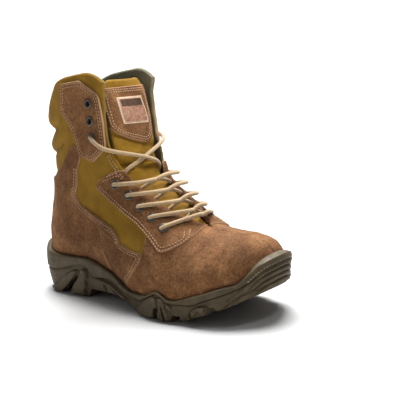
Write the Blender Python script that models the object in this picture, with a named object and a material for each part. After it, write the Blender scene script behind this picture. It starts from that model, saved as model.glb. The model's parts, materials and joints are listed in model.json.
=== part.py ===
"""A right combat boot: suede and fabric upper on a lugged rubber sole.

Metres, +Z up, toe towards +X, wearer's right side (lateral) towards -Y.
The origin is on the floor, under the middle of the boot's length.
"""

import functools
import math

import bmesh
import bpy
import numpy as np

# Driving sizes
SOLE_LENGTH = 0.2990
BALL_WIDTH = 0.1135
INSTEP_HEIGHT = 0.150
COLLAR_HEIGHT = 0.237
HEEL_LIFT = 0.036
TOE_SPRING = 0.031
HEEL_ROUND = 0.038
TOE_ROUND = 0.046
SOLE_INSET = 0.0055
RIM_INSET = 0.0058
TUCK_SLOPE = 0.30
TUCK_FADE = 0.045
UPPER_WALL = 0.0022
PANEL_THICKNESS = 0.0013
INSOLE_THICKNESS = 0.0040
TONGUE_THICKNESS = 0.0045
GAP = 0.0003
CENTRING = (-0.0003, 0.0027, 0.0)

HEEL_X = -SOLE_LENGTH / 2

# The sole, a row for each station from heel to toe. Along is a share of the length from the
# heel. Centre and half are shares of the ball width, bed of the heel's lift, tread of the toe
# spring.
SOLE_COLUMNS = ("along", "centre", "half", "bed", "tread")
SOLE_TABLE = (
    (0.000, 0.000, 0.340, 1.00, 0.42),
    (0.030, 0.000, 0.340, 1.00, 0.20),
    (0.062, 0.000, 0.341, 0.99, 0.00),
    (0.180, -0.006, 0.341, 0.97, 0.00),
    (0.270, -0.010, 0.341, 0.92, 0.00),
    (0.390, -0.020, 0.350, 0.71, 0.00),
    (0.530, -0.045, 0.410, 0.43, 0.00),
    (0.612, -0.049, 0.462, 0.39, 0.00),
    (0.660, -0.040, 0.490, 0.39, 0.00),
    (0.715, -0.025, 0.500, 0.46, 0.00),
    (0.810, -0.002, 0.485, 0.63, 0.26),
    (0.890, 0.024, 0.448, 0.80, 0.55),
    (0.950, 0.055, 0.415, 0.94, 0.79),
    (1.000, 0.078, 0.390, 1.06, 1.00),
)

# The sole's top edge and the step in its side, as seen from the side. Along is a share of the
# length, height a share of the instep's height.
EDGE_COLUMNS = ("along", "height")
RIM_LINE = (
    (0.000, 0.360),
    (0.016, 0.350),
    (0.052, 0.305),
    (0.180, 0.290),
    (0.270, 0.293),
    (0.390, 0.233),
    (0.530, 0.135),
    (0.600, 0.145),
    (0.655, 0.190),
    (0.715, 0.147),
    (0.810, 0.200),
    (0.890, 0.253),
    (0.925, 0.283),
    (0.950, 0.340),
    (0.978, 0.415),
    (1.000, 0.440),
)
STEP_LINE = (
    (0.000, 0.165),
    (0.108, 0.172),
    (0.193, 0.210),
    (0.248, 0.238),
    (0.288, 0.215),
    (0.306, 0.160),
    (0.392, 0.172),
    (0.480, 0.120),
    (0.560, 0.095),
    (0.627, 0.150),
    (0.664, 0.182),
    (0.705, 0.130),
    (0.784, 0.133),
    (0.837, 0.172),
    (0.928, 0.245),
    (0.958, 0.310),
    (0.982, 0.375),
    (1.000, 0.398),
)

# The sole's side from the tread to the rim. Height runs from 0 at the tread to 1 at the step and
# 2 at the rim. Out is the distance from the sole's outline, and rib what the toe's ribs add.
SIDE_COLUMNS = ("height", "out", "rib")
SIDE_TABLE = (
    (0.00, -0.0040, 0.0000),
    (0.08, -0.0012, 0.0000),
    (0.20, 0.0006, 0.0004),
    (0.31, 0.0011, 0.0007),
    (0.37, 0.0011, -0.0009),
    (0.48, 0.0012, 0.0007),
    (0.54, 0.0012, -0.0009),
    (0.65, 0.0012, 0.0007),
    (0.71, 0.0012, -0.0009),
    (0.84, 0.0011, 0.0007),
    (0.98, 0.0008, 0.0000),
    (1.05, -0.0010, 0.0000),
    (1.45, -0.0004, 0.0000),
    (1.86, 0.0003, 0.0000),
    (2.00, -0.0006, 0.0000),
)

# The gaps between the lugs, as seen from the side. Mouth is the middle of the gap at the tread and
# top the middle of its upper end, as shares of the length. Reach is how far in from the sole's
# edge a gap goes, and 0 is a gap right across.
GAP_COLUMNS = ("mouth", "mouth_width", "top", "top_width", "top_height", "reach")
LUG_GAPS = (
    (0.152, 0.018, 0.229, 0.0030, 0.0230, 0.016),
    (0.155, 0.0100, 0.163, 0.0070, 0.0055, 0.000),
    (0.415, 0.0920, 0.400, 0.0600, 0.0110, 0.000),
    (0.651, 0.0075, 0.657, 0.0025, 0.0130, 0.018),
    (0.700, 0.0040, 0.686, 0.0020, 0.0160, 0.014),
    (0.729, 0.0140, 0.733, 0.0090, 0.0075, 0.000),
    (0.794, 0.0040, 0.792, 0.0025, 0.0070, 0.012),
    (0.854, 0.0130, 0.854, 0.0080, 0.0065, 0.000),
    (0.918, 0.0070, 0.920, 0.0040, 0.0060, 0.000),
)

# The upper, a row for each section from the toe's tip over the instep to the collar. A section's
# plane holds a low point (on the sole's bed line, then up the back of the heel) and a high point
# (along the vamp and the instep, then up the front of the shaft). Low_x and high_x are shares of
# the length from the heel. Heights run from 0 at the floor to 1 at the instep's bend and 2 at the
# collar. Half and throat are shares of the ball width, and lean is the high point's side shift.
UPPER_COLUMNS = ("low_x", "low_z", "high_x", "high_z", "half", "top_power", "low_power", "lean", "throat")
UPPER_TABLE = (
    (0.983, 0.256, 0.983, 0.256, 0.000, 2.2, 2.2, 0.076, 0.000),
    (0.979, 0.246, 0.981, 0.315, 0.000, 2.2, 2.2, 0.074, 0.000),
    (0.969, 0.240, 0.976, 0.370, 0.000, 2.2, 2.2, 0.070, 0.000),
    (0.951, 0.232, 0.966, 0.420, 0.000, 2.2, 2.2, 0.068, 0.000),
    (0.923, 0.220, 0.948, 0.463, 0.000, 2.2, 2.2, 0.066, 0.000),
    (0.884, 0.200, 0.915, 0.492, 0.000, 2.3, 2.2, 0.060, 0.000),
    (0.838, 0.172, 0.868, 0.507, 0.430, 2.3, 2.2, 0.050, 0.000),
    (0.785, 0.140, 0.806, 0.515, 0.448, 2.3, 2.2, 0.040, 0.000),
    (0.730, 0.112, 0.748, 0.533, 0.462, 2.3, 2.2, 0.030, 0.000),
    (0.670, 0.096, 0.697, 0.586, 0.462, 2.4, 2.2, 0.020, 0.075),
    (0.610, 0.094, 0.650, 0.640, 0.448, 2.5, 2.2, 0.012, 0.140),
    (0.545, 0.100, 0.604, 0.705, 0.418, 2.7, 2.2, 0.006, 0.175),
    (0.465, 0.136, 0.558, 0.775, 0.390, 2.9, 2.2, 0.002, 0.195),
    (0.375, 0.176, 0.520, 0.842, 0.368, 3.1, 2.2, 0.000, 0.215),
    (0.270, 0.216, 0.500, 0.912, 0.358, 3.4, 2.2, 0.000, 0.243),
    (0.155, 0.232, 0.498, 0.975, 0.353, 3.8, 2.2, 0.000, 0.272),
    (0.060, 0.238, 0.499, 1.055, 0.350, 4.3, 2.2, 0.000, 0.298),
    (0.018, 0.240, 0.500, 1.130, 0.349, 4.7, 2.2, 0.000, 0.314),
    (0.023, 0.393, 0.500, 1.200, 0.348, 5.0, 2.2, 0.000, 0.325),
    (0.042, 0.540, 0.500, 1.290, 0.347, 5.0, 2.2, 0.000, 0.332),
    (0.061, 0.700, 0.500, 1.390, 0.346, 5.0, 2.2, 0.000, 0.336),
    (0.079, 0.925, 0.500, 1.500, 0.346, 5.0, 2.2, 0.000, 0.338),
    (0.063, 1.090, 0.500, 1.590, 0.347, 5.0, 2.2, 0.000, 0.339),
    (0.082, 1.250, 0.500, 1.690, 0.348, 5.0, 2.2, 0.000, 0.340),
    (0.058, 1.430, 0.500, 1.790, 0.352, 5.0, 2.2, 0.000, 0.343),
    (0.070, 1.640, 0.500, 1.930, 0.360, 5.0, 2.2, 0.000, 0.350),
    (0.112, 1.908, 0.496, 2.074, 0.372, 4.6, 2.2, 0.000, 0.358),
)
HEEL_ROW = 17
COLLAR_ROW = len(UPPER_TABLE) - 1
COLLAR_DROP = 0.016
COLLAR_DROP_ROWS = 2.5
COLLAR_PEAK = 0.60
COLLAR_CORNER = 0.86
COLLAR_BACK = 0.36
SECTION_SAMPLES = 73

SIDES = {"lateral": -1, "medial": 1}
UPPER_ROWS = list(range(9)) + [9, 9.5, 10, 11, 12, 13, 14, 15, 16, 17, 18, 19, 20]
UPPER_ROWS += [20.5, 21, 21.5, 22, 22.5, 23, 23.5, 24, 24.5, 25, 25.5, 26]
UPPER_COLUMN_COUNT = 12


def smooth(positions, values, at):
    """A curve through the points that never overshoots them."""
    positions = np.asarray(positions, float)
    values = np.asarray(values, float)
    at = np.clip(np.asarray(at, float), positions[0], positions[-1])
    step = np.diff(positions)
    slope = np.diff(values) / step
    tangent = np.empty(len(values))
    tangent[0] = slope[0]
    tangent[-1] = slope[-1]
    product = slope[:-1] * slope[1:]
    total = slope[:-1] + slope[1:]
    safe = np.where(total == 0, 1, total)
    tangent[1:-1] = np.where(product > 0, 2 * product / safe, 0)
    index = np.clip(np.searchsorted(positions, at) - 1, 0, len(step) - 1)
    part = (at - positions[index]) / step[index]
    rest = 1 - part
    return (
        values[index] * (1 + 2 * part) * rest**2
        + tangent[index] * step[index] * part * rest**2
        + values[index + 1] * part**2 * (3 - 2 * part)
        - tangent[index + 1] * step[index] * part**2 * rest
    )


def column_of(table, columns, name):
    return np.array(table)[:, columns.index(name)]


def sole_value(name, x):
    along = column_of(SOLE_TABLE, SOLE_COLUMNS, "along")
    return smooth(along, column_of(SOLE_TABLE, SOLE_COLUMNS, name), (x - HEEL_X) / SOLE_LENGTH)


def edge_height(line, x):
    along = column_of(line, EDGE_COLUMNS, "along")
    share = smooth(along, column_of(line, EDGE_COLUMNS, "height"), (x - HEEL_X) / SOLE_LENGTH)
    return share * INSTEP_HEIGHT


def upper_value(name, row):
    values = column_of(UPPER_TABLE, UPPER_COLUMNS, name)
    return smooth(np.arange(len(values)), values, row)


def level(share):
    """A height from its share: 0 is the floor, 1 the instep's bend and 2 the collar."""
    low = np.minimum(share, 1) * INSTEP_HEIGHT
    return low + np.maximum(share - 1, 0) * (COLLAR_HEIGHT - INSTEP_HEIGHT)


def outline_half(x):
    """Half the sole's width at x, with its ends rounded."""
    from_heel = np.clip((x - HEEL_X) / HEEL_ROUND, 0, 1)
    from_toe = np.clip((HEEL_X + SOLE_LENGTH - x) / TOE_ROUND, 0, 1)
    ends = np.sqrt(1 - (1 - from_heel) ** 2) * np.sqrt(1 - (1 - from_toe) ** 2)
    return sole_value("half", x) * BALL_WIDTH * ends


def inset_half(x, inset):
    """Half the width at x of the sole's outline drawn in by inset."""
    shrink = 1 - 2 * inset / SOLE_LENGTH
    outside = np.clip(x / shrink, HEEL_X, -HEEL_X)
    return outline_half(outside) * (1 - inset / (sole_value("half", outside) * BALL_WIDTH))


def bed_half(x):
    """Half the upper's width at the bed line."""
    return inset_half(x, SOLE_INSET)


def tucked(points):
    """The same points, drawn in sideways where they would not fit inside the sole's rim."""
    x = points[:, 0]
    centre = sole_value("centre", x) * BALL_WIDTH
    above = np.maximum(0, points[:, 2] - edge_height(RIM_LINE, x))
    limit = inset_half(x, RIM_INSET - TUCK_SLOPE * above)
    wide = np.abs(points[:, 1] - centre)
    over = np.maximum(0, wide - limit)
    points[:, 1] += np.sign(centre - points[:, 1]) * over * np.exp(-above / TUCK_FADE)
    return points


@functools.lru_cache(maxsize=None)
def section(row):
    """The sizes of the upper's section at this row, in metres."""
    low_x = HEEL_X + upper_value("low_x", row) * SOLE_LENGTH
    high_x = HEEL_X + upper_value("high_x", row) * SOLE_LENGTH
    heel = row >= HEEL_ROW
    bed = sole_value("bed", low_x) * HEEL_LIFT
    low_z = np.where(heel, level(upper_value("low_z", row)), bed)
    at_bed = np.where(heel, 0, bed_half(low_x))
    own = upper_value("half", row) * BALL_WIDTH
    swell = 1.03 * at_bed
    half = (own + swell + math.hypot(own - swell, 0.002)) / 2
    return {
        "low": np.array([low_x, level(upper_value("low_z", row)) if row == 0 else low_z]),
        "high": np.array([high_x, level(upper_value("high_z", row))]),
        "at_bed": at_bed,
        "half": max(half, 1e-9),
        "top_power": upper_value("top_power", row),
        "low_power": upper_value("low_power", row),
        "centre": sole_value("centre", low_x) * BALL_WIDTH,
        "lean": upper_value("lean", row) * BALL_WIDTH,
        "throat": upper_value("throat", row) * BALL_WIDTH,
    }


def direction_at(half_share, power, up):
    """The direction from a section's middle to where it is half_share of its half width wide."""
    wide = min(1.0, max(0.0, half_share))
    high = max(0.0, 1 - wide**power) ** (1 / power)
    return math.atan2(up * high, wide)


@functools.lru_cache(maxsize=None)
def half_section(row, side, open_throat):
    """A row's outer face on one side, from the bed or the back to the throat, and its length so far."""
    sizes = section(row)
    if row == 0:
        tip = (sizes["low"][0], sizes["lean"], sizes["low"][1])
        return np.tile(tip, (SECTION_SAMPLES, 1)), np.linspace(0, 1, SECTION_SAMPLES)
    start = direction_at(sizes["at_bed"] / sizes["half"], sizes["low_power"], -1)
    end = math.pi / 2
    if open_throat and sizes["throat"] > 0:
        end = direction_at(sizes["throat"] / sizes["half"], sizes["top_power"], 1)
    direction = np.linspace(start, end, SECTION_SAMPLES)
    power = np.where(direction > 0, sizes["top_power"], sizes["low_power"])
    across = np.cos(direction)
    along = np.sin(direction)
    radius = (np.abs(across) ** power + np.abs(along) ** power) ** (-1 / power)
    lowest = -max(0.0, 1 - (sizes["at_bed"] / sizes["half"]) ** sizes["low_power"])
    lowest = -(abs(lowest) ** (1 / sizes["low_power"]))
    share = (radius * along - lowest) / (1 - lowest)
    middle = sizes["centre"] + (sizes["lean"] - sizes["centre"]) * share
    plane = sizes["low"] + np.outer(share, sizes["high"] - sizes["low"])
    points = np.column_stack((plane[:, 0], middle + side * sizes["half"] * radius * across, plane[:, 1]))
    points[:, 2] -= collar_drop(row, share)
    points = tucked(points)
    steps = np.linalg.norm(np.diff(points, axis=0), axis=1)
    return points, np.concatenate(([0], np.cumsum(steps)))


def collar_drop(row, share):
    """How far the collar falls below its plane, at its front corners and at the back."""
    fade = np.clip((row - COLLAR_ROW + COLLAR_DROP_ROWS) / COLLAR_DROP_ROWS, 0, 1)
    front = np.clip((share - COLLAR_PEAK) / (COLLAR_CORNER - COLLAR_PEAK), 0, 1)
    back = np.clip((COLLAR_BACK - share) / COLLAR_BACK, 0, 1)
    return COLLAR_DROP * fade * (front**2 + back**2)


def on_upper(row, around, side, open_throat):
    points, so_far = half_section(row, side, open_throat)
    distance = around * so_far[-1]
    return np.array([np.interp(distance, so_far, points[:, axis]) for axis in range(3)])


@functools.lru_cache(maxsize=None)
def normal_at(row, around, side, open_throat):
    """The direction out of the upper's outer face."""
    turn = 0.03
    here = min(max(around, turn), 1 - turn)
    across = on_upper(row, here + turn, side, open_throat) - on_upper(row, here - turn, side, open_throat)
    step = 0.2
    before = on_upper(round(max(row - step, 0), 4), here, side, open_throat)
    after = on_upper(round(min(row + step, COLLAR_ROW), 4), here, side, open_throat)
    normal = np.cross(after - before, across) * side
    return normal / max(np.linalg.norm(normal), 1e-12)


def upper_point(row, around, side, open_throat=True, out=0.0):
    """The upper's outer face at this row, moved out. Around runs from 0 at the bed to 1 at the throat."""
    row = round(float(row), 4)
    point = on_upper(row, around, side, open_throat)
    if not out:
        return point
    if row == 0:
        return point + np.array([out, 0, 0])
    normal = normal_at(row, around, side, open_throat)
    joined_top = around == 1 and (not open_throat or section(row)["throat"] <= 0)
    joined_back = around == 0 and row >= HEEL_ROW
    if joined_top or joined_back:
        normal = normal + normal_at(row, around, -side, open_throat)
        normal = normal / np.linalg.norm(normal)
    return point + normal * out


# Clearing and helpers

for old in list(bpy.data.objects):
    bpy.data.objects.remove(old, do_unlink=True)

boot = bpy.data.collections.new("combat_boot")
bpy.context.scene.collection.children.link(boot)
cutters = bpy.data.collections.new("cutters")
bpy.context.scene.collection.children.link(cutters)
cutters.hide_render = True
lug_gaps = bpy.data.collections.new("lug_gaps")
cutters.children.link(lug_gaps)
lug_gaps.hide_render = True


def material(name, colour, roughness, metallic=0.0):
    made = bpy.data.materials.new(name)
    made.use_nodes = True
    shader = made.node_tree.nodes["Principled BSDF"]
    shader.inputs["Base Color"].default_value = (*colour, 1)
    shader.inputs["Roughness"].default_value = roughness
    shader.inputs["Metallic"].default_value = metallic
    return made


SUEDE = material("brown_suede", (0.16, 0.075, 0.038), 0.9)
FABRIC = material("mustard_fabric", (0.19, 0.10, 0.018), 0.85)
RUBBER = material("olive_rubber", (0.075, 0.062, 0.042), 0.75)
FOAM = material("grey_lining", (0.10, 0.095, 0.08), 0.95)
CORD = material("tan_cord", (0.42, 0.31, 0.18), 0.8)
STEEL = material("gunmetal", (0.06, 0.06, 0.065), 0.35, 0.9)
ZIP = material("black_zip", (0.015, 0.015, 0.016), 0.6)


def object_from(name, points, faces, finish=None, cutter=False):
    """A mesh object from points and faces, with coincident points made one."""
    mesh = bpy.data.meshes.new(name)
    mesh.from_pydata([tuple(point) for point in points], [], faces)
    work = bmesh.new()
    work.from_mesh(mesh)
    bmesh.ops.remove_doubles(work, verts=work.verts, dist=1e-6)
    bmesh.ops.dissolve_degenerate(work, edges=work.edges, dist=1e-6)
    work.to_mesh(mesh)
    work.free()
    made = bpy.data.objects.new(name, mesh)
    if cutter:
        cutters.objects.link(made)
        made.hide_render = True
        made.display_type = "WIRE"
        return made
    boot.objects.link(made)
    mesh.materials.append(finish)
    mesh.shade_smooth()
    mesh.set_sharp_from_angle(angle=math.radians(40))
    return made


def grid_faces(rows, columns, closed=False, start=0):
    """Triangles over a grid of rows by columns, round to the first column again if closed."""
    faces = []
    for row in range(rows - 1):
        for column in range(columns if closed else columns - 1):
            after = (column + 1) % columns
            a = start + row * columns + column
            b = start + row * columns + after
            faces.append((a, b, b + columns))
            faces.append((a, b + columns, a + columns))
    return faces


def cap_faces(base, stations):
    """Strips across a ring of 2 * stations points, from its first end to the one opposite."""
    ring = 2 * stations
    faces = []
    for index in range(stations):
        corners = (index, index + 1, ring - index - 1, (ring - index) % ring)
        faces.append(tuple(base + corner for corner in dict.fromkeys(corners)))
    return faces


def boolean(made, other, operation="DIFFERENCE"):
    modifier = made.modifiers.new(operation.lower(), "BOOLEAN")
    modifier.operation = operation
    modifier.solver = "EXACT"
    modifier.object = other
    return modifier


def outward(made):
    """Turns a closed mesh's faces to point out."""
    work = bmesh.new()
    work.from_mesh(made.data)
    bmesh.ops.recalc_face_normals(work, faces=work.faces)
    if work.calc_volume(signed=True) < 0:
        bmesh.ops.reverse_faces(work, faces=work.faces)
    work.to_mesh(made.data)
    work.free()
    return made


def side_prism(name, outline, y_from, y_to):
    """A cutter: an outline seen from the side, (x, z) in metres, drawn out from y_from to y_to."""
    count = len(outline)
    points = [(x, y_from, z) for x, z in outline] + [(x, y_to, z) for x, z in outline]
    faces = [tuple(range(count)), tuple(range(count, 2 * count))]
    for i in range(count):
        j = (i + 1) % count
        faces.append((i, j, count + j, count + i))
    return outward(object_from(name, points, faces, cutter=True))


# Sole

SOLE_STATIONS = 40


def outline_at(turn):
    """The sole's outline in plan: turn 0 at the heel, pi at the toe, lateral side first."""
    x = HEEL_X + SOLE_LENGTH * (1 - math.cos(turn)) / 2
    side = -1 if math.sin(turn) >= 0 else 1
    return np.array([x, sole_value("centre", x) * BALL_WIDTH + side * outline_half(x)])


def outline_offset(turn, out):
    small = 0.004
    along = outline_at(turn + small) - outline_at(turn - small)
    normal = np.array([along[1], -along[0]])
    return outline_at(turn) + normal / np.linalg.norm(normal) * out


def side_height(share, x):
    tread = sole_value("tread", x) * TOE_SPRING
    step = edge_height(STEP_LINE, x)
    rim = edge_height(RIM_LINE, x)
    if share <= 1:
        return tread + (step - tread) * share
    return step + (rim - step) * (share - 1)


def last_form(name, out, rows, drop):
    """A closed form of the upper, bridged over its throat, grown by out, with its base lowered by drop."""
    columns = UPPER_COLUMN_COUNT
    half = len(rows) * columns
    points = []
    for side in SIDES:
        for row in rows:
            for step in range(columns):
                point = upper_point(row, step / (columns - 1), SIDES[side], True, out)
                if step == 0 and row > 0:
                    point[2] -= drop
                points.append(point)
    faces = grid_faces(len(rows), columns) + grid_faces(len(rows), columns, start=half)
    for row in range(len(rows) - 1):
        for step in (0, columns - 1):
            a = row * columns + step
            faces.append((a, a + columns, half + a + columns, half + a))
    end = range(half - columns, half)
    faces.append((*end, *(half + index for index in reversed(end))))
    return outward(object_from(name, points, faces, cutter=True))


def make_sole():
    ring = 2 * SOLE_STATIONS
    points = []
    for height, out, rib in SIDE_TABLE:
        for index in range(ring):
            turn = math.pi * index / SOLE_STATIONS
            x = outline_at(turn)[0]
            toe = np.clip((x - HEEL_X) / SOLE_LENGTH / 0.10 - 9.0, 0, 1)
            x_out, y_out = outline_offset(turn, out + rib * toe)
            points.append((x_out, y_out, side_height(height, x)))
    faces = grid_faces(len(SIDE_TABLE), ring, closed=True)
    top = (len(SIDE_TABLE) - 1) * ring
    for base in (0, top):
        faces += cap_faces(base, SOLE_STATIONS)
    return outward(object_from("outsole", points, faces, RUBBER))


sole = make_sole()
bed_out = PANEL_THICKNESS + 3 * GAP
bed_rows = [row for row in UPPER_ROWS if row <= HEEL_ROW + 2]
bed_cut = boolean(sole, last_form("bed_cutter", bed_out, bed_rows, 2 * GAP))
bed_cut.use_self = True


def add_gap(name, outline, y_from, y_to):
    made = side_prism(name, outline, y_from, y_to)
    cutters.objects.unlink(made)
    lug_gaps.objects.link(made)


def cut_gaps():
    for number, values in enumerate(LUG_GAPS):
        gap = dict(zip(GAP_COLUMNS, values))
        mouth = HEEL_X + gap["mouth"] * SOLE_LENGTH
        top = HEEL_X + gap["top"] * SOLE_LENGTH
        tread = float(sole_value("tread", mouth)) * TOE_SPRING
        below = 0.004
        outline = (
            (mouth - gap["mouth_width"] / 2, tread - below),
            (mouth + gap["mouth_width"] / 2, tread - below),
            (top + gap["top_width"] / 2, tread + gap["top_height"]),
            (top - gap["top_width"] / 2, tread + gap["top_height"]),
        )
        beyond = BALL_WIDTH
        if not gap["reach"]:
            add_gap(f"gap_cutter_{number}", outline, -beyond, beyond)
            continue
        for side, sign in SIDES.items():
            centre = float(sole_value("centre", mouth)) * BALL_WIDTH
            inner = centre + sign * (float(outline_half(mouth)) - gap["reach"])
            add_gap(f"gap_cutter_{number}_{side}", outline, inner, sign * beyond)
    modifier = sole.modifiers.new("gaps", "BOOLEAN")
    modifier.operand_type = "COLLECTION"
    modifier.collection = lug_gaps
    modifier.solver = "EXACT"


cut_gaps()


# Upper

def thick_sheet(name, outer, inner, faces, finish, cutter=False):
    """A closed solid between two sheets of the same faces. Points that meet on the outer one are joined."""
    first = {}
    index = []
    for point in outer:
        key = tuple(round(value * 1e6) for value in point)
        index.append(first.setdefault(key, len(first)))
    count = len(first)
    points = [None] * (2 * count)
    for number, old in enumerate(index):
        if points[old] is None:
            points[old] = outer[number]
    sums = np.zeros((count, 3))
    shares = np.zeros(count)
    for number, old in enumerate(index):
        sums[old] += inner[number]
        shares[old] += 1
    points[count:] = list(sums / shares[:, None])
    closed = []
    edges = {}
    for face in faces:
        corners = tuple(dict.fromkeys(index[corner] for corner in face))
        if len(corners) < 3:
            continue
        closed.append(corners)
        for a, b in zip(corners, corners[1:] + corners[:1]):
            edges[a, b] = edges.get((a, b), 0) + 1
    for corners in list(closed):
        closed.append(tuple(count + corner for corner in reversed(corners)))
    for a, b in edges:
        if (b, a) not in edges:
            closed.append((b, a, count + a, count + b))
    return outward(object_from(name, points, closed, finish, cutter))


def upper_shell(name, rows, out_from, out_to, finish, sides=tuple(SIDES)):
    """A solid that follows the upper's outer face between two distances out from it."""
    columns = UPPER_COLUMN_COUNT
    outer = []
    inner = []
    faces = []
    for side in sides:
        start = len(outer)
        for row in rows:
            for step in range(columns):
                around = step / (columns - 1)
                outer.append(upper_point(row, around, SIDES[side], True, out_to))
                inner.append(upper_point(row, around, SIDES[side], True, out_from))
        made = grid_faces(len(rows), columns, start=start)
        faces += made if side == "lateral" else [face[::-1] for face in made]
    return thick_sheet(name, outer, inner, faces, finish)


upper = upper_shell("upper", UPPER_ROWS, -UPPER_WALL, 0.0, FABRIC)


# Tongue

TONGUE_COLUMNS = ("row", "depth", "half")
TONGUE_TABLE = (
    (8.8, 0.0027, 0.0120),
    (9.5, 0.0033, 0.0180),
    (10.5, 0.0040, 0.0235),
    (12.0, 0.0042, 0.0265),
    (13.0, 0.0050, 0.0285),
    (14.0, 0.0080, 0.0300),
    (15.0, 0.0110, 0.0315),
    (16.0, 0.0135, 0.0315),
    (17.0, 0.0148, 0.0315),
    (18.0, 0.0158, 0.0315),
    (19.0, 0.0170, 0.0315),
    (20.0, 0.0190, 0.0315),
    (21.0, 0.0210, 0.0315),
    (22.0, 0.0230, 0.0315),
    (23.0, 0.0250, 0.0310),
    (24.0, 0.0268, 0.0305),
    (24.8, 0.0282, 0.0300),
    (25.2, 0.0290, 0.0285),
)
TONGUE_STEPS = 9
TONGUE_ROWS = 17
TONGUE_CROWN = 0.0010


def tongue_value(name, row):
    rows = column_of(TONGUE_TABLE, TONGUE_COLUMNS, "row")
    return float(smooth(rows, column_of(TONGUE_TABLE, TONGUE_COLUMNS, name), row))


@functools.lru_cache(maxsize=None)
def forward(row):
    """The direction the closed upper faces at the middle of this row."""
    step = 0.2
    after = upper_point(min(row + step, COLLAR_ROW), 1, 1, False)
    along = after - upper_point(max(row - step, 0), 1, 1, False)
    ahead = np.array([along[2], 0, -along[0]])
    return ahead / np.linalg.norm(ahead)


def over_throat(row, y, depth):
    """A point under the closed section of this row, depth in from its face, y to one side."""
    row = round(float(row), 4)
    points, so_far = half_section(row, -1 if y < 0 else 1, False)
    wide = np.abs(points[:, 1] - points[-1, 1])
    top = int(np.argmax(wide))
    place = np.interp(-abs(y), -wide[top:], np.arange(top, len(points)))
    found = np.array([np.interp(place, np.arange(len(points)), points[:, axis]) for axis in range(3)])
    found[2] += collar_drop(row, 1.0)
    return found - forward(row) * depth


def tongue_point(row, across, inward):
    """A point of the tongue. Across runs from -1 at its lateral edge to 1 at its medial edge."""
    y = across * tongue_value("half", row)
    crown = TONGUE_CROWN * across**2
    return over_throat(row, y, tongue_value("depth", row) + crown + inward)


def make_tongue():
    rows = np.linspace(TONGUE_TABLE[0][0], TONGUE_TABLE[-1][0], TONGUE_ROWS)
    outer = []
    inner = []
    for row in rows:
        for step in range(TONGUE_STEPS):
            across = 2 * step / (TONGUE_STEPS - 1) - 1
            outer.append(tongue_point(row, across, 0.0))
            inner.append(tongue_point(row, across, TONGUE_THICKNESS))
    faces = grid_faces(len(rows), TONGUE_STEPS)
    return thick_sheet("tongue", outer, inner, faces, FABRIC)


make_tongue()


# Panels

BEYOND = 0.2
SEAM_GAP = 0.0006


def grown(outline, by):
    """A closed outline with every edge moved out by this distance."""
    points = [np.array(point, float) for point in outline]
    count = len(points)
    following = points[1:] + points[:1]
    area = sum(here[0] * after[1] - after[0] * here[1] for here, after in zip(points, following))
    turn = 1 if area > 0 else -1
    moved = []
    for i in range(count):
        before = points[i] - points[i - 1]
        after = points[(i + 1) % count] - points[i]
        first = turn * np.array([before[1], -before[0]]) / np.linalg.norm(before)
        second = turn * np.array([after[1], -after[0]]) / np.linalg.norm(after)
        corner = (first + second) / max(1 + float(first @ second), 0.5)
        moved.append(points[i] + corner * by)
    return moved


def in_metres(outline):
    """An outline's shares of the length from the heel and of the instep's height, in metres."""
    return [(HEEL_X + along * SOLE_LENGTH, height * INSTEP_HEIGHT) for along, height in outline]


def panel(name, side, outline, rows, thickness, finish, around=(), base=GAP):
    """A piece of the upper's skin inside an outline seen from the side, clear of the pieces around it."""
    used = [row for row in UPPER_ROWS if rows[0] <= row <= rows[1]]
    sides = (side,) if side in SIDES else tuple(SIDES)
    made = upper_shell(name, used, base, base + thickness, finish, sides)
    reach = {"lateral": (-BEYOND, -SEAM_GAP / 2), "medial": (SEAM_GAP / 2, BEYOND)}.get(side, (-BEYOND, BEYOND))
    boolean(made, side_prism(name + "_outline", in_metres(outline), *reach), "INTERSECT")
    for number, other in enumerate(around):
        clear = grown(in_metres(other), GAP)
        boolean(made, side_prism(f"{name}_clear_{number}", clear, -BEYOND, BEYOND))
    return made


# Outlines seen from the side: a share of the length from the heel, and of the instep's height.
UPPER_EYESTAY = (
    (0.235, 1.515),
    (0.330, 1.540),
    (0.404, 1.455),
    (0.411, 1.415),
    (0.420, 1.250),
    (0.421, 1.087),
    (0.408, 1.060),
    (0.360, 0.985),
    (0.294, 1.025),
    (0.282, 1.130),
    (0.259, 1.235),
    (0.222, 1.320),
)
MEDIAL_EYESTAY = (
    (0.286, 1.527),
    (0.350, 1.530),
    (0.404, 1.455),
    (0.415, 1.390),
    (0.422, 1.250),
    (0.433, 1.070),
    (0.385, 0.955),
    (0.322, 1.005),
    (0.310, 1.085),
    (0.292, 1.230),
    (0.270, 1.365),
)
LOWER_EYESTAY = (
    (0.361, 0.850),
    (0.368, 0.872),
    (0.455, 0.933),
    (0.472, 0.935),
    (0.560, 0.960),
    (0.700, 0.700),
    (0.722, 0.570),
    (0.736, 0.528),
    (0.734, 0.505),
    (0.722, 0.482),
    (0.690, 0.448),
    (0.658, 0.430),
    (0.644, 0.450),
    (0.607, 0.513),
    (0.547, 0.593),
    (0.467, 0.673),
    (0.363, 0.813),
)
VAMP = (
    (0.584, 0.407),
    (0.600, 0.560),
    (0.640, 0.700),
    (0.700, 0.800),
    (1.050, 0.800),
    (1.050, -0.100),
    (0.430, -0.100),
    (0.497, 0.180),
    (0.537, 0.253),
    (0.574, 0.353),
)
HEEL_QUARTER = (
    (-0.060, 0.775),
    (0.110, 0.785),
    (0.166, 0.815),
    (0.212, 0.910),
    (0.250, 1.010),
    (0.262, 1.060),
    (0.300, 1.060),
    (0.296, 1.000),
    (0.279, 0.930),
    (0.273, 0.820),
    (0.260, 0.750),
    (0.276, 0.690),
    (0.326, 0.633),
    (0.430, 0.547),
    (0.457, 0.500),
    (0.470, 0.453),
    (0.523, 0.420),
    (0.582, 0.405),
    (0.571, 0.353),
    (0.534, 0.253),
    (0.494, 0.180),
    (0.425, -0.100),
    (-0.060, -0.100),
)
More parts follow.
